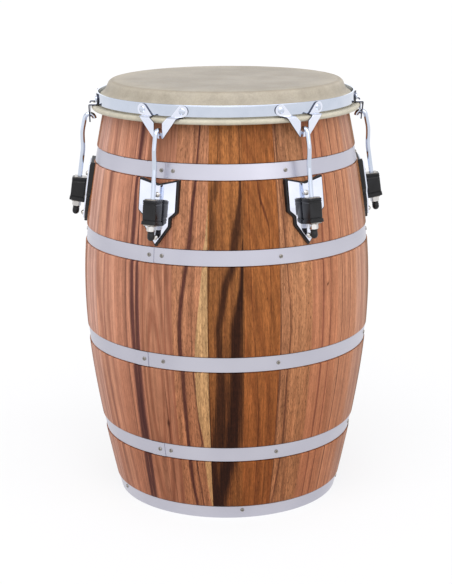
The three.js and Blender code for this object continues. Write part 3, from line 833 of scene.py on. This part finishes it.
def stave_piece(place, look, seed):
    middle = FRONT_STAVE_ANGLE + place * STAVE_ANGLE
    radii, heights = np.array(wood_rows()).T
    half = STAVE_ANGLE / 2
    chamfer = JOINT_CHAMFER / BELLY_RADIUS
    edge = half - JOINT_GAP / BELLY_RADIUS / 2
    turns = np.array([-edge, *np.linspace(chamfer - edge, edge - chamfer, STAVE_COLUMNS - 1), edge])
    drops = np.zeros(STAVE_COLUMNS + 1)
    drops[[0, -1]] = JOINT_DROP
    count, columns = len(radii), len(turns)
    inner_heights = np.linspace(0, SHELL_HEIGHT, count)
    inner_radii = np.array([radius_at(z) - WALL for z in inner_heights])[:, None] + 0 * turns[None]

    def grid(radius, height):
        angle = middle + turns[None]
        return np.stack([radius * np.sin(angle), -radius * np.cos(angle),
                         height[:, None] + 0 * angle], axis=-1).reshape(-1, 3)

    points = np.concatenate([
        grid(radii[:, None] - drops[None], heights), grid(inner_radii, inner_heights)])
    total = count * columns
    faces = []
    for i in range(count - 1):
        for j in range(columns - 1):
            a = i * columns + j
            b = total + a
            faces.append((a, a + 1, a + columns + 1, a + columns))
            faces.append((b, b + columns, b + columns + 1, b + 1))
        for j, step in ((0, -1), (columns - 1, 1)):
            a = i * columns + j
            faces.append((a, a + columns, total + a + columns, total + a)[::step])
    for i, step in ((0, 1), (count - 1, -1)):
        for j in range(columns - 1):
            a = i * columns + j
            faces.append((a, total + a, total + a + 1, a + 1)[::step])
    mesh = bpy.data.meshes.new(f"stave_{place % STAVES + 1}")
    mesh.from_pydata(points.tolist(), [], faces)
    shaded(mesh, 40)

    across = radii[:, None] * turns[None]
    strengths, grids = stave_attributes(
        look, seed, across, heights[:, None] + 0 * across, (radii * half)[:, None] + 0 * across)
    light, dark = look["tone"]
    # The rise carries the painted light towards the stave's top.
    wholes = dict(
        streak_strength=strengths, rise=[look.get("rise", 0.0)], figure=look["figure"],
        streak_colour=srgb(*look["dark"]), light=srgb(*light), dark=srgb(*dark))
    for name, values in grids.items():
        set_attribute(mesh, name, np.tile(values.reshape(total, -1), (2, 1)))
    for name, values in wholes.items():
        set_attribute(mesh, name, np.tile(values, (2 * total, 1)))
    add_piece(mesh.name, mesh, WOOD, "barrel", nodes=["shell"])


def make_staves():
    dice = random.Random(11)
    for i in range(STAVES):
        place = i if i < STAVES / 2 else i - STAVES
        stave_piece(place, look_of(place, dice), 1.7 * i + 0.3)


make_staves()


# Bands

def strip_section(bottom, width, lift):
    """The strip's cross section as (radius, height) points, with small chamfers."""
    inside = -BAND_INSET - STRIP_THICKNESS + lift
    outside = -BAND_INSET + lift
    top, middle = bottom + width, (bottom + bottom + width) / 2
    return [
        (radius_at(bottom) + inside, bottom),
        (radius_at(bottom) + outside - STRIP_CHAMFER, bottom),
        (radius_at(bottom) + outside, bottom + STRIP_CHAMFER),
        (radius_at(middle) + outside, middle),
        (radius_at(top) + outside, top - STRIP_CHAMFER),
        (radius_at(top) + outside - STRIP_CHAMFER, top),
        (radius_at(top) + inside, top),
    ]


def band_mesh(name, bottom, width, seam):
    """A strip bent round the shell, with its last stretch lapped over its start."""
    radius = radius_at(bottom + width / 2)
    end = radians(seam)
    ramp_start = end - (LAP_LENGTH + LAP_RAMP) / radius
    ramp_end = end - LAP_LENGTH / radius
    turns = np.linspace(end - 2 * pi - LAP_LENGTH / radius, end, SIDES + 1)
    sections = []
    for turn in np.unique(np.concatenate([turns, np.linspace(ramp_start, ramp_end, 6)])):
        share = min(max((turn - ramp_start) / (ramp_end - ramp_start), 0), 1)
        lift = STRIP_THICKNESS * share * share * (3 - 2 * share)
        sections.append([
            (r * sin(turn), -r * cos(turn), z) for r, z in strip_section(bottom, width, lift)])
    return loft(name, sections, smooth=25)


def screw_mesh():
    """A pan head with a cross recess, its axis along -Y and its seat at the origin."""
    rings = [(0.0, 1.0)]
    rings += [(s, 1 - 0.35 * s ** 4) for s in (0.14, 0.22, 0.3, 0.4, 0.5, 0.6, 0.7, 0.8, 0.9)]
    rings += [(0.97, 0.5), (1.0, 0.3), (1.0, 0.0)]
    sides = 48
    points = []
    slot, reach, depth = 0.12, 0.62, 0.75
    for share, level in rings:
        for turn in whole_turn(sides):
            x, z = share * cos(turn), share * sin(turn)
            inside = min(abs(x), abs(z)) < slot and share < reach
            drop = depth * (1 - share / reach) if inside else 0
            points.append((x * SCREW_RADIUS, -SCREW_TALL * (level - drop), z * SCREW_RADIUS))
    faces = ring_faces(len(rings), sides, closed=False)
    faces.append(tuple(range(len(points) - sides, len(points))))
    return build_mesh("band_screw", points, faces, smooth=30)


def add_screw(name, mesh, azimuth, height, lift, turn):
    slope = (radius_at(height - BAND_WIDTH / 2) - radius_at(height + BAND_WIDTH / 2)) / BAND_WIDTH
    seat = radius_at(height) - BAND_INSET + lift
    matrix = (Matrix.Rotation(radians(azimuth), 4, "Z") @ Matrix.Translation((0, -seat, height))
              @ Matrix.Rotation(-atan(slope), 4, "X") @ Matrix.Rotation(turn, 4, "Y"))
    add_piece(name, mesh, DARK_STEEL, "barrel", matrix)


def make_bands():
    dice = random.Random(5)
    screw = screw_mesh()
    for i, bottom in enumerate(BAND_BOTTOMS):
        name = f"band_{i + 1}"
        mesh = band_mesh(f"{name}_strip", bottom, BAND_WIDTH, BAND_SEAMS[i])
        add_piece(mesh.name, mesh, BAND_STEEL, "barrel", nodes=[name])
        for j, azimuth in enumerate(BAND_SCREWS[i]):
            add_screw(f"{name}_screw_{j + 1}", screw, azimuth, bottom + BAND_WIDTH / 2,
                      STRIP_THICKNESS if j == 0 else 0, dice.uniform(0, pi))
    mesh = band_mesh("foot_band_strip", 0, FOOT_BAND_WIDTH, FOOT_SEAM)
    add_piece(mesh.name, mesh, BAND_STEEL, "barrel", nodes=["foot_band"])
    for j, azimuth in enumerate(FOOT_SCREWS):
        add_screw(f"foot_band_screw_{j + 1}", screw, azimuth, FOOT_SCREW_HEIGHT, 0,
                  dice.uniform(0, pi))


make_bands()


# Rim, skin and flesh hoop

RIM_TOP = SHELL_HEIGHT - RIM_DROP
RIM_BOTTOM = RIM_TOP - RIM_WIDTH
RIM_INNER = radius_at(RIM_BOTTOM) + RIM_STANDOFF
RIM_RADIUS = RIM_INNER + RIM_THICKNESS
HOOP_BORE = HOOP_ROD_RADIUS + CLEARANCE
BEAD_RADIUS = HOOP_BORE + SKIN_THICKNESS
HOOP_CENTRE = (
    RIM_RADIUS + HOOP_STANDOFF, RIM_BOTTOM - BRACKET_THICKNESS - CLEARANCE - BEAD_RADIUS)


def rim_mesh():
    outline = rounded([
        (RIM_INNER, RIM_BOTTOM), (RIM_RADIUS, RIM_BOTTOM),
        (RIM_RADIUS, RIM_TOP), (RIM_INNER, RIM_TOP)], RIM_ROUND)
    return revolve("rim_hoop", outline, smooth=50)


def skin_mesh():
    under = SHELL_HEIGHT + CLEARANCE
    shoulder = arc(ROUND_CENTRE, BEARING_ROUND + CLEARANCE, pi / 2, SHOULDER_END, 12)
    start = shoulder[-1]
    wall = RIM_INNER - CLEARANCE - SKIN_THICKNESS
    turn = (wall, RIM_TOP - SKIRT_TURN)
    flare = tuple(a + (b - a) * share for a, b, share in zip(start, turn, SKIRT_FLARE_SHARES))
    bead = arc(HOOP_CENTRE, HOOP_BORE, BEAD_START, BEAD_END, 28)
    skirt = softened(
        [start, flare, turn, (wall, HOOP_CENTRE[1] + HOOP_BORE), bead[0]], SKIRT_ROUND)
    crown = [(r, under) for r in np.linspace(0, shoulder[0][0], 40)[:-1]]
    inner = [*crown, *shoulder, *skirt[1:-1], *bead]
    outer = offset_line(inner, SKIN_THICKNESS)
    mesh = revolve("skin_head", [*inner, *outer[::-1]], smooth=60)
    for vertex in mesh.vertices:
        x, y, _ = vertex.co
        if hypot(x, y) < TOP_RADIUS:
            vertex.co.z -= SKIN_WAVE * (1 + noise.noise(Vector((x * 24, y * 24, 4))))
    return mesh


def hoop_mesh():
    return revolve("hoop_rod", arc(HOOP_CENTRE, HOOP_ROD_RADIUS, 0, 2 * pi, 16)[:-1])


add_piece("rim_hoop", rim_mesh(), CHROME, "head", nodes=["rim"])
add_piece("skin_head", skin_mesh(), RAWHIDE, "head", nodes=["skin"])
add_piece("hoop_rod", hoop_mesh(), STEEL, "head", nodes=["flesh_hoop"])


# Tuning station. In its frame the station faces -Y.
# The lug's own axes are x across, y up along the wood and z out of it.

CURL_HEIGHT = RIM_BOTTOM - CURL_DROP
LUG_HEIGHT = CURL_HEIGHT - HOOK_RISE
PLATE_HALF = PLATE_TALL / 2
LUG_TILT = atan(
    (radius_at(LUG_HEIGHT - PLATE_HALF) - radius_at(LUG_HEIGHT + PLATE_HALF)) / PLATE_TALL)
LUG_RADIUS = radius_at(LUG_HEIGHT)
LUG_MATRIX = (Matrix.Translation((0, -LUG_RADIUS, LUG_HEIGHT))
              @ Matrix.Rotation(pi / 2 - LUG_TILT, 4, "X"))
PLATE_BACK = CLEARANCE + GASKET_THICKNESS + CLEARANCE
PLATE_FACE = PLATE_BACK + PLATE_THICKNESS
LUG_TOP = LUG_TALL / 2
ROD_BOTTOM = -LUG_TOP - ROD_BELOW_LUG
NUT_TOP = -LUG_TOP - CLEARANCE
BRACKET_BACK = RIM_RADIUS + BRACKET_STANDOFF
CURL_PLACE = BRACKET_BACK + BRACKET_THICKNESS / 2 + CURL_OFFSET


def plate_points():
    half, waist = PLATE_WIDTH / 2, PLATE_WAIST / 2

    def at(share):
        return PLATE_HALF - share * PLATE_TALL

    right = [(half, PLATE_HALF), (half, at(PLATE_SIDE_END_SHARE)),
             (waist, at(PLATE_WAIST_START_SHARE)), (waist, at(PLATE_WAIST_END_SHARE))]
    left = [(-x, y) for x, y in right[::-1]]
    return [(0, PLATE_HALF - PLATE_NOTCH), *right, (0, -PLATE_HALF), *left][::-1]


def plate_mesh():
    outline = rounded(plate_points(), PLATE_CORNER)
    sections = [[(x, y, z) for x, y in outline] for z in (PLATE_BACK, PLATE_FACE)]
    return modified(loft("plate", sections), bevel(0.0005, 3))


def on_wood(x, y):
    """How deep the wood lies along the lug's z axis at a place on the plate."""
    low, high = -0.02, 0.004
    for _ in range(24):
        z = (low + high) / 2
        point = LUG_MATRIX @ Vector((x, y, z))
        if hypot(point.x, point.y) > radius_at(point.z):
            high = z
        else:
            low = z
    return (low + high) / 2


def gasket_mesh():
    outline, inset = (
        rounded(offset_line(plate_points(), inwards - GASKET_MARGIN, True), GASKET_CORNER)
        for inwards in (0, GASKET_ROUND))
    front = CLEARANCE + GASKET_THICKNESS
    sections = [
        [(x, y, on_wood(x, y) + CLEARANCE) for x, y in outline],
        [(x, y, front - GASKET_ROUND) for x, y in outline],
        [(x, y, front) for x, y in inset],
    ]
    return loft("gasket", sections, smooth=30)


def sleeve_mesh():
    """The rubber sleeve, a C round the core, with ribs near its top and a flange at its foot."""
    half, depth = SLEEVE_WIDTH / 2, SLEEVE_DEPTH / 2
    slot = NECK_WIDTH / 2 + CLEARANCE
    pocket_x, pocket_z = CORE_WIDTH / 2 + CLEARANCE, CORE_DEPTH / 2 + CLEARANCE
    # Height as a share of the sleeve's half, and how far its outside stands back there
    levels = [
        (1, 0.0014), (0.985, 0.0008), (0.86, 0.0007), (0.84, 0.0013), (0.8, 0.0013), (0.78, 0.0006),
        (0.72, 0.0006), (0.7, 0.0013), (0.65, 0.0013), (0.62, 0.0009), (-0.58, 0.0011),
        (-0.62, 0.0016), (-0.67, 0.0016), (-0.69, 0.0004), (-0.96, 0), (-0.99, 0.0002), (-1, 0.0006)]

    def outline(inset):
        x, z, r = half - inset, depth - inset, SLEEVE_ROUND
        corners = [((x - r, -z + r), -90, 0), ((x - r, z - r), 0, 90),
                   ((-x + r, z - r), 90, 180), ((-x + r, -z + r), 180, 270)]
        outside = [p for c, a, b in corners for p in arc(c, r, radians(a), radians(b), 5)]
        inside = [(-slot, -z), (-slot, -pocket_z), (-pocket_x, -pocket_z), (-pocket_x, pocket_z),
                  (pocket_x, pocket_z), (pocket_x, -pocket_z), (slot, -pocket_z), (slot, -z)]
        return outside + inside

    def height(share, z):
        """Both ends slant, so that the outer face is the shorter one."""
        return share * LUG_TOP * (1 - SLEEVE_SLANT * (z + depth) / (2 * depth))

    sections = [[(x, height(share, z), ROD_STANDOFF + z) for x, z in outline(inset)]
                for share, inset in levels]
    return loft("sleeve", sections, smooth=28)


def turned_rows(name, rows, smooth=30):
    """Rows of (radius, height) at each turn round the Y axis of the lug, joined all round."""
    points = [(r * cos(t), y, r * sin(t)) for t, row in rows for r, y in row]
    return build_mesh(name, points, ring_faces(len(rows), len(rows[0][1])), smooth)


def nut_mesh(name, radius, tall, bore, start):
    """A hex nut with chamfered corners, down from the height where it starts."""
    flats = radius * cos(pi / 6)
    edge = 0.02 * tall
    rows = []
    for turn in whole_turn(72):
        local = (turn + pi / 6) % (pi / 3) - pi / 6
        hexagon = flats / cos(local)
        drop = 0.12 * tall * (hexagon - flats) / (radius - flats)
        top, end = start - edge, start - tall
        foot = start - tall * 0.98
        rows.append((turn, [
            (bore, start), (flats * 0.97, start), (flats, top), (hexagon, top - drop),
            (hexagon, foot + drop), (flats, foot), (flats * 0.97, end), (bore, end)]))
    return turned_rows(name, rows)


def cap_mesh():
    top = NUT_TOP - NUT_TALL - CLEARANCE
    end = top - CAP_LENGTH
    bore = ROD_RADIUS + CLEARANCE
    lip = CAP_RADIUS - CAP_LIP
    dome = [(CAP_RADIUS * cos(a), end + CAP_RADIUS * (1 - sin(a))) for a in quarter(10)]
    groove = [(r, top - z) for r, z in zip((CAP_RADIUS, lip, lip, CAP_RADIUS), CAP_GROOVE)]
    outline = [(bore, top), (lip, top), (CAP_RADIUS, top - CAP_LIP), *groove, *dome,
               (0, end + CAP_WALL), (bore, end + CAP_WALL)]
    return turned_rows("cap", [(t, outline) for t in whole_turn(48)], smooth=40)


def bolt_mesh():
    """A dome headed bolt along the lug's z axis, with a washer inside the wall, and the height of the
    washer's inner face, where its nut goes.
    """
    deepest = -WALL / cos(LUG_TILT)
    seat = deepest - BOLT_WASHER_RADIUS ** 2 / LUG_RADIUS - CLEARANCE
    washer = seat - BOLT_WASHER_THICKNESS
    end = washer - BOLT_NUT_TALL
    rise = BOLT_HEAD_TALL - BOLT_HEAD_EDGE
    dome = [(BOLT_HEAD_RADIUS * cos(a), PLATE_FACE + BOLT_HEAD_EDGE + rise * sin(a))
            for a in quarter(12)]
    outline = [
        (0, end), (BOLT_RADIUS, end), (BOLT_RADIUS, washer), (BOLT_WASHER_RADIUS, washer),
        (BOLT_WASHER_RADIUS, seat), (BOLT_RADIUS, seat), (BOLT_RADIUS, PLATE_FACE),
        (BOLT_HEAD_RADIUS, PLATE_FACE), *dome]
    return revolve("bolt", outline, 48, smooth=40), washer


def in_lug(mesh, standoff=0.0):
    mesh.transform(LUG_MATRIX @ Matrix.Translation((0, 0, standoff)))
    return mesh


def rod_point(along):
    return LUG_MATRIX @ Vector((0, along, ROD_STANDOFF))


def curl_point(angle):
    return Vector((0, -CURL_PLACE - CURL_RADIUS * cos(angle), CURL_HEIGHT + CURL_RADIUS * sin(angle)))


def leg_point(drop):
    """A place on the straight leg below the curl, which leans outwards on its way down."""
    return curl_point(CURL_START) + Vector((0, -sin(CURL_START), -cos(CURL_START))) * drop


def hook_path():
    bottom, above_lug = rod_point(ROD_BOTTOM), rod_point(LUG_TOP)
    climb = CURL_HEIGHT - above_lug.z
    knee_along = LUG_TOP + KNEE_SHARE * climb / cos(LUG_TILT)
    knee = rod_point(knee_along)
    leg_length = LEG_SHARE * climb
    bend_end = leg_point(leg_length)
    handle = BEND_HANDLE_SHARE * (bend_end.z - knee.z)
    bend = bezier(knee, rod_point(knee_along + handle), leg_point(leg_length + handle), bend_end, 14)
    shaft = [bottom.lerp(knee, t) for t in np.linspace(0, 1, 12)]
    leg = [leg_point(leg_length * t) for t in np.linspace(1, 0, 6)]
    curl = [curl_point(a) for a in np.linspace(CURL_START, CURL_END, 28)]
    return [Vector(p) for p in (*shaft, *bend[1:], *leg[1:], *curl[1:])]


def hook_mesh():
    path = hook_path()
    across = Vector((1, 0, 0))
    sections = []
    for i, point in enumerate(path):
        before, after = path[max(i - 1, 0)], path[min(i + 1, len(path) - 1)]
        ahead = (after - before).normalized()
        outward = across.cross(ahead)
        rings = [(ROD_RADIUS, 0.0)]
        if i == 0:
            rings = [(ROD_RADIUS - ROD_CHAMFER, 0.0), (ROD_RADIUS, ROD_CHAMFER)]
        elif i == len(path) - 1:
            rings = [(ROD_RADIUS, -ROD_CHAMFER), (ROD_RADIUS - ROD_CHAMFER, 0.0)]
        for radius, shift in rings:
            sections.append([
                tuple(point + ahead * shift + across * radius * cos(t) + outward * radius * sin(t))
                for t in whole_turn(ROD_SIDES)])
    return loft("hook", sections, smooth=40)


# Bracket, a bent sheet of two arms that meet in a foot

BRACKET_BOTTOM = RIM_BOTTOM - BRACKET_DROP
EAR = Vector((RIVET_SPREAD, RIM_BOTTOM + EAR_RADIUS))


def saddle_height():
    underside = CURL_RADIUS - ROD_RADIUS
    reach = CURL_OFFSET + BRACKET_THICKNESS / 2
    return CURL_HEIGHT + sqrt(underside ** 2 - reach ** 2) - 2 * CLEARANCE


def arm_edges(height):
    """Where the right arm's two edges lie across the bracket at a height."""
    outer_end, inner_end = (
        EAR + EAR_RADIUS * Vector((cos(turn), sin(turn))) for turn in (EAR_START, EAR_END))
    round_half = sqrt(max(EAR_RADIUS ** 2 - (height - EAR.y) ** 2, 0))
    inside, outside = EAR.x - round_half, EAR.x + round_half
    if height < outer_end.y:
        outside = np.interp(
            height, [BRACKET_BOTTOM, RIM_BOTTOM - BRACKET_THICKNESS, outer_end.y],
            [BRACKET_FOOT_WIDTH / 2, FOLD_SPREADS[1], outer_end.x])
    if height < inner_end.y:
        inside = np.interp(
            height, [BRACKET_BOTTOM + SLOT_TALL, RIM_BOTTOM, inner_end.y],
            [SLOT_WIDTH / 2, FOLD_SPREADS[0], inner_end.x])
    return inside, outside


def bracket_rows():
    """Rows up the bracket, each a height for its width, and how its points stand off the axis."""
    flat = BRACKET_BACK + BRACKET_THICKNESS / 2
    on_rim = RIM_RADIUS + CLEARANCE + BRACKET_THICKNESS / 2
    shelf = RIM_BOTTOM - BRACKET_THICKNESS / 2
    bend = BRACKET_BEND
    top = EAR.y + EAR_RADIUS
    saddle = saddle_height()

    def rim_place(x):
        return sqrt(on_rim ** 2 - x * x)

    rows = [(z, lambda x: flat) for z in np.linspace(BRACKET_BOTTOM, saddle, 7)]
    rows += [(z, lambda x: flat) for z in np.linspace(saddle, shelf - bend, 12)[1:]]
    for t in quarter(7)[1:]:
        place = flat - bend + bend * cos(t)
        rows.append((shelf - bend + bend * sin(t), lambda x, place=place: place))
    for share in np.linspace(0, 1, 5)[1:-1]:
        rows.append((shelf, lambda x, share=share: (
            (1 - share) * (flat - bend) + share * (rim_place(x) + bend))))
    for t in quarter(7):
        rows.append((shelf + bend - bend * cos(t), lambda x, t=t: (
            rim_place(x) + bend - bend * sin(t))))
    start = shelf + bend
    for share in np.sin(quarter(16))[1:]:
        rows.append((start + share * (top - start), rim_place))
    return rows


def bracket_mesh():
    points, faces = [], []
    cells = 8

    def add_grid(rows, left, right):
        first = len(points)
        for height, standoff in rows:
            for x in np.linspace(left(height), right(height), cells + 1):
                points.append((x, -standoff(x), height))
        for i in range(len(rows) - 1):
            for j in range(cells):
                a = first + i * (cells + 1) + j
                faces.append((a, a + 1, a + cells + 2, a + cells + 1))

    rows = bracket_rows()
    saddle = saddle_height()
    half = SLOT_WIDTH / 2
    add_grid([row for row in rows if row[0] <= saddle + MERGE], lambda z: -half, lambda z: half)
    add_grid(rows, lambda z: max(arm_edges(z)[0], half), lambda z: arm_edges(z)[1])
    add_grid(rows, lambda z: -arm_edges(z)[1], lambda z: -max(arm_edges(z)[0], half))
    sheet = build_mesh("bracket", points, faces)
    # The sheet's faces take the chrome painted brighter, a painted reflection.
    sheet.materials.append(CHROME_PAINTED_BRIGHT)
    # Its cut edges take the dark finish, painted shade and a painted dark reflection along the edges.
    sheet.materials.append(CUT_EDGE_PAINTED_SHADE)
    thickness = {
        "thickness": BRACKET_THICKNESS, "offset": 0, "use_even_offset": True,
        "material_offset_rim": 1}
    return modified(sheet, ("SOLIDIFY", thickness), bevel(0.00045, 3, 50), smooth=38)


def rivet_mesh():
    dome = [(RIVET_RADIUS * cos(a), RIVET_TALL * (0.25 + 0.75 * sin(a))) for a in quarter(12)]
    shank = RIVET_RADIUS * 0.6
    outline = [(0, -BRACKET_THICKNESS / 2), (shank, -BRACKET_THICKNESS / 2), (shank, 0),
               (RIVET_RADIUS, 0), *dome]
    mesh = revolve("rivet", outline, 40, smooth=40)
    mesh.transform(Matrix.Rotation(pi / 2, 4, "X"))
    return mesh


def make_stations():
    bracket, hook = bracket_mesh(), hook_mesh()
    corners = NUT_ACROSS_FLATS / 2 / cos(pi / 6)
    nut = in_lug(nut_mesh("nut", corners, NUT_TALL, ROD_RADIUS + CLEARANCE, NUT_TOP), ROD_STANDOFF)
    cap = in_lug(cap_mesh(), ROD_STANDOFF)
    plate, gasket, sleeve = in_lug(plate_mesh()), in_lug(gasket_mesh()), in_lug(sleeve_mesh())
    rivet = rivet_mesh()
    bolt, bolt_washer = bolt_mesh()
    inner_nut = nut_mesh("inner_nut", BOLT_NUT_RADIUS, BOLT_NUT_TALL * 0.8, BOLT_RADIUS, 0)
    inner_nut.transform(Matrix.Rotation(pi / 2, 4, "X"))
    rivet_seat = RIM_RADIUS + CLEARANCE + BRACKET_THICKNESS
    for i in range(STATIONS):
        number = i + 1
        turn = Matrix.Rotation(FIRST_STATION_ANGLE + i * 2 * pi / STATIONS, 4, "Z")
        # Brackets and plates take the chrome painted brighter, a painted reflection.
        for name, mesh, material, body, node in (
                ("bracket", bracket, CHROME_PAINTED_BRIGHT, "head", "rim_bracket"),
                ("hook", hook, CHROME, f"hook_{number}", "tuning_hook"),
                ("nut", nut, NUT_CHROME, f"nut_{number}", "hook_nut"),
                ("cap", cap, RUBBER, f"nut_{number}", "nut_cap"),
                ("plate", plate, CHROME_PAINTED_BRIGHT, "barrel", "side_plate"),
                ("gasket", gasket, RUBBER, "barrel", "plate_gasket"),
                ("sleeve", sleeve, RUBBER, "barrel", "lug_sleeve")):
            add_piece(f"{name}_{number}", mesh, material, body, turn, [f"{node}_{number}"])
        for side in (-1, 1):
            aside = Matrix.Rotation(side * asin(RIVET_SPREAD / rivet_seat), 4, "Z")
            seat = Matrix.Translation((0, -rivet_seat, EAR.y))
            add_piece(f"rivet_{number}_{'left' if side < 0 else 'right'}", rivet, CHROME, "head",
                      turn @ aside @ seat)
        for share, where in zip(BOLT_PLACE_SHARES, ("upper", "lower")):
            place = LUG_MATRIX @ Matrix.Translation((0, share * PLATE_TALL, 0))
            add_piece(f"plate_bolt_{number}_{where}", bolt, STEEL, "barrel", turn @ place)
            add_piece(f"plate_nut_{number}_{where}", inner_nut, STEEL, "barrel",
                      turn @ place @ Matrix.Translation((0, 0, bolt_washer)))
        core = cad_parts[f"lug_core_{number}"]
        core.data.materials.clear()
        core.data.materials.append(DARK_STEEL)


make_stations()


# Floor, light and surroundings

FLOOR_REACH = 40
ROOM_STRENGTH = 1.45
# Degrees from the camera's side of the room, and how bright the wall is there
WALLS = [(0, 1.0), (25, 0.93), (55, 0.83), (95, 0.8), (125, 0.78), (150, 0.85), (180, 0.9)]
WALL_TINT = (0.97, 0.975, 1.0)
CEILING = (0.54, 0.545, 0.56, 1)


def make_floor():
    corners = [(x * FLOOR_REACH, y * FLOOR_REACH, 0) for x, y in ((-1, -1), (1, -1), (1, 1), (-1, 1))]
    mesh = bpy.data.meshes.new("floor")
    mesh.from_pydata(corners, [], [(0, 1, 2, 3)])
    mesh.materials.append(floor_material())
    floor = new_object("floor", mesh)


def make_world():
    """A pale room, whose walls differ a little so that metal shows them."""
    world = bpy.data.worlds.new("room")
    bpy.context.scene.world = world
    shader = Shader(world, "World", "Background", Strength=ROOM_STRENGTH)
    x, y, z = shader.split(shader.place("Generated"))
    angle = shader.math("ARCTAN2", shader.math("ABSOLUTE", x), shader.times(y, -1))
    ramp = shader.add("ValToRGB", {"Fac": shader.math("DIVIDE", angle, pi)})
    stops = ramp.color_ramp.elements
    stops.remove(stops[0])
    for i, (degrees, bright) in enumerate(WALLS):
        stop = stops[0] if i == 0 else stops.new(degrees / 180)
        stop.position = degrees / 180
        stop.color = (*(bright * tint for tint in WALL_TINT), 1)
    shader.set("Color", shader.mix(shader.span(z, 0.1, 0.7), ramp.outputs["Color"], CEILING))


def add_sun(name, energy, angle, elevation, azimuth):
    data = bpy.data.lights.new(name, "SUN")
    data.energy = energy
    data.angle = radians(angle)
    new_object(name, data).rotation_euler = (radians(90 - elevation), 0, radians(azimuth))


make_floor()
make_world()
add_sun("key", 1.5, 50, 55, -18)
add_sun("fill", 0.8, 60, 40, 40)
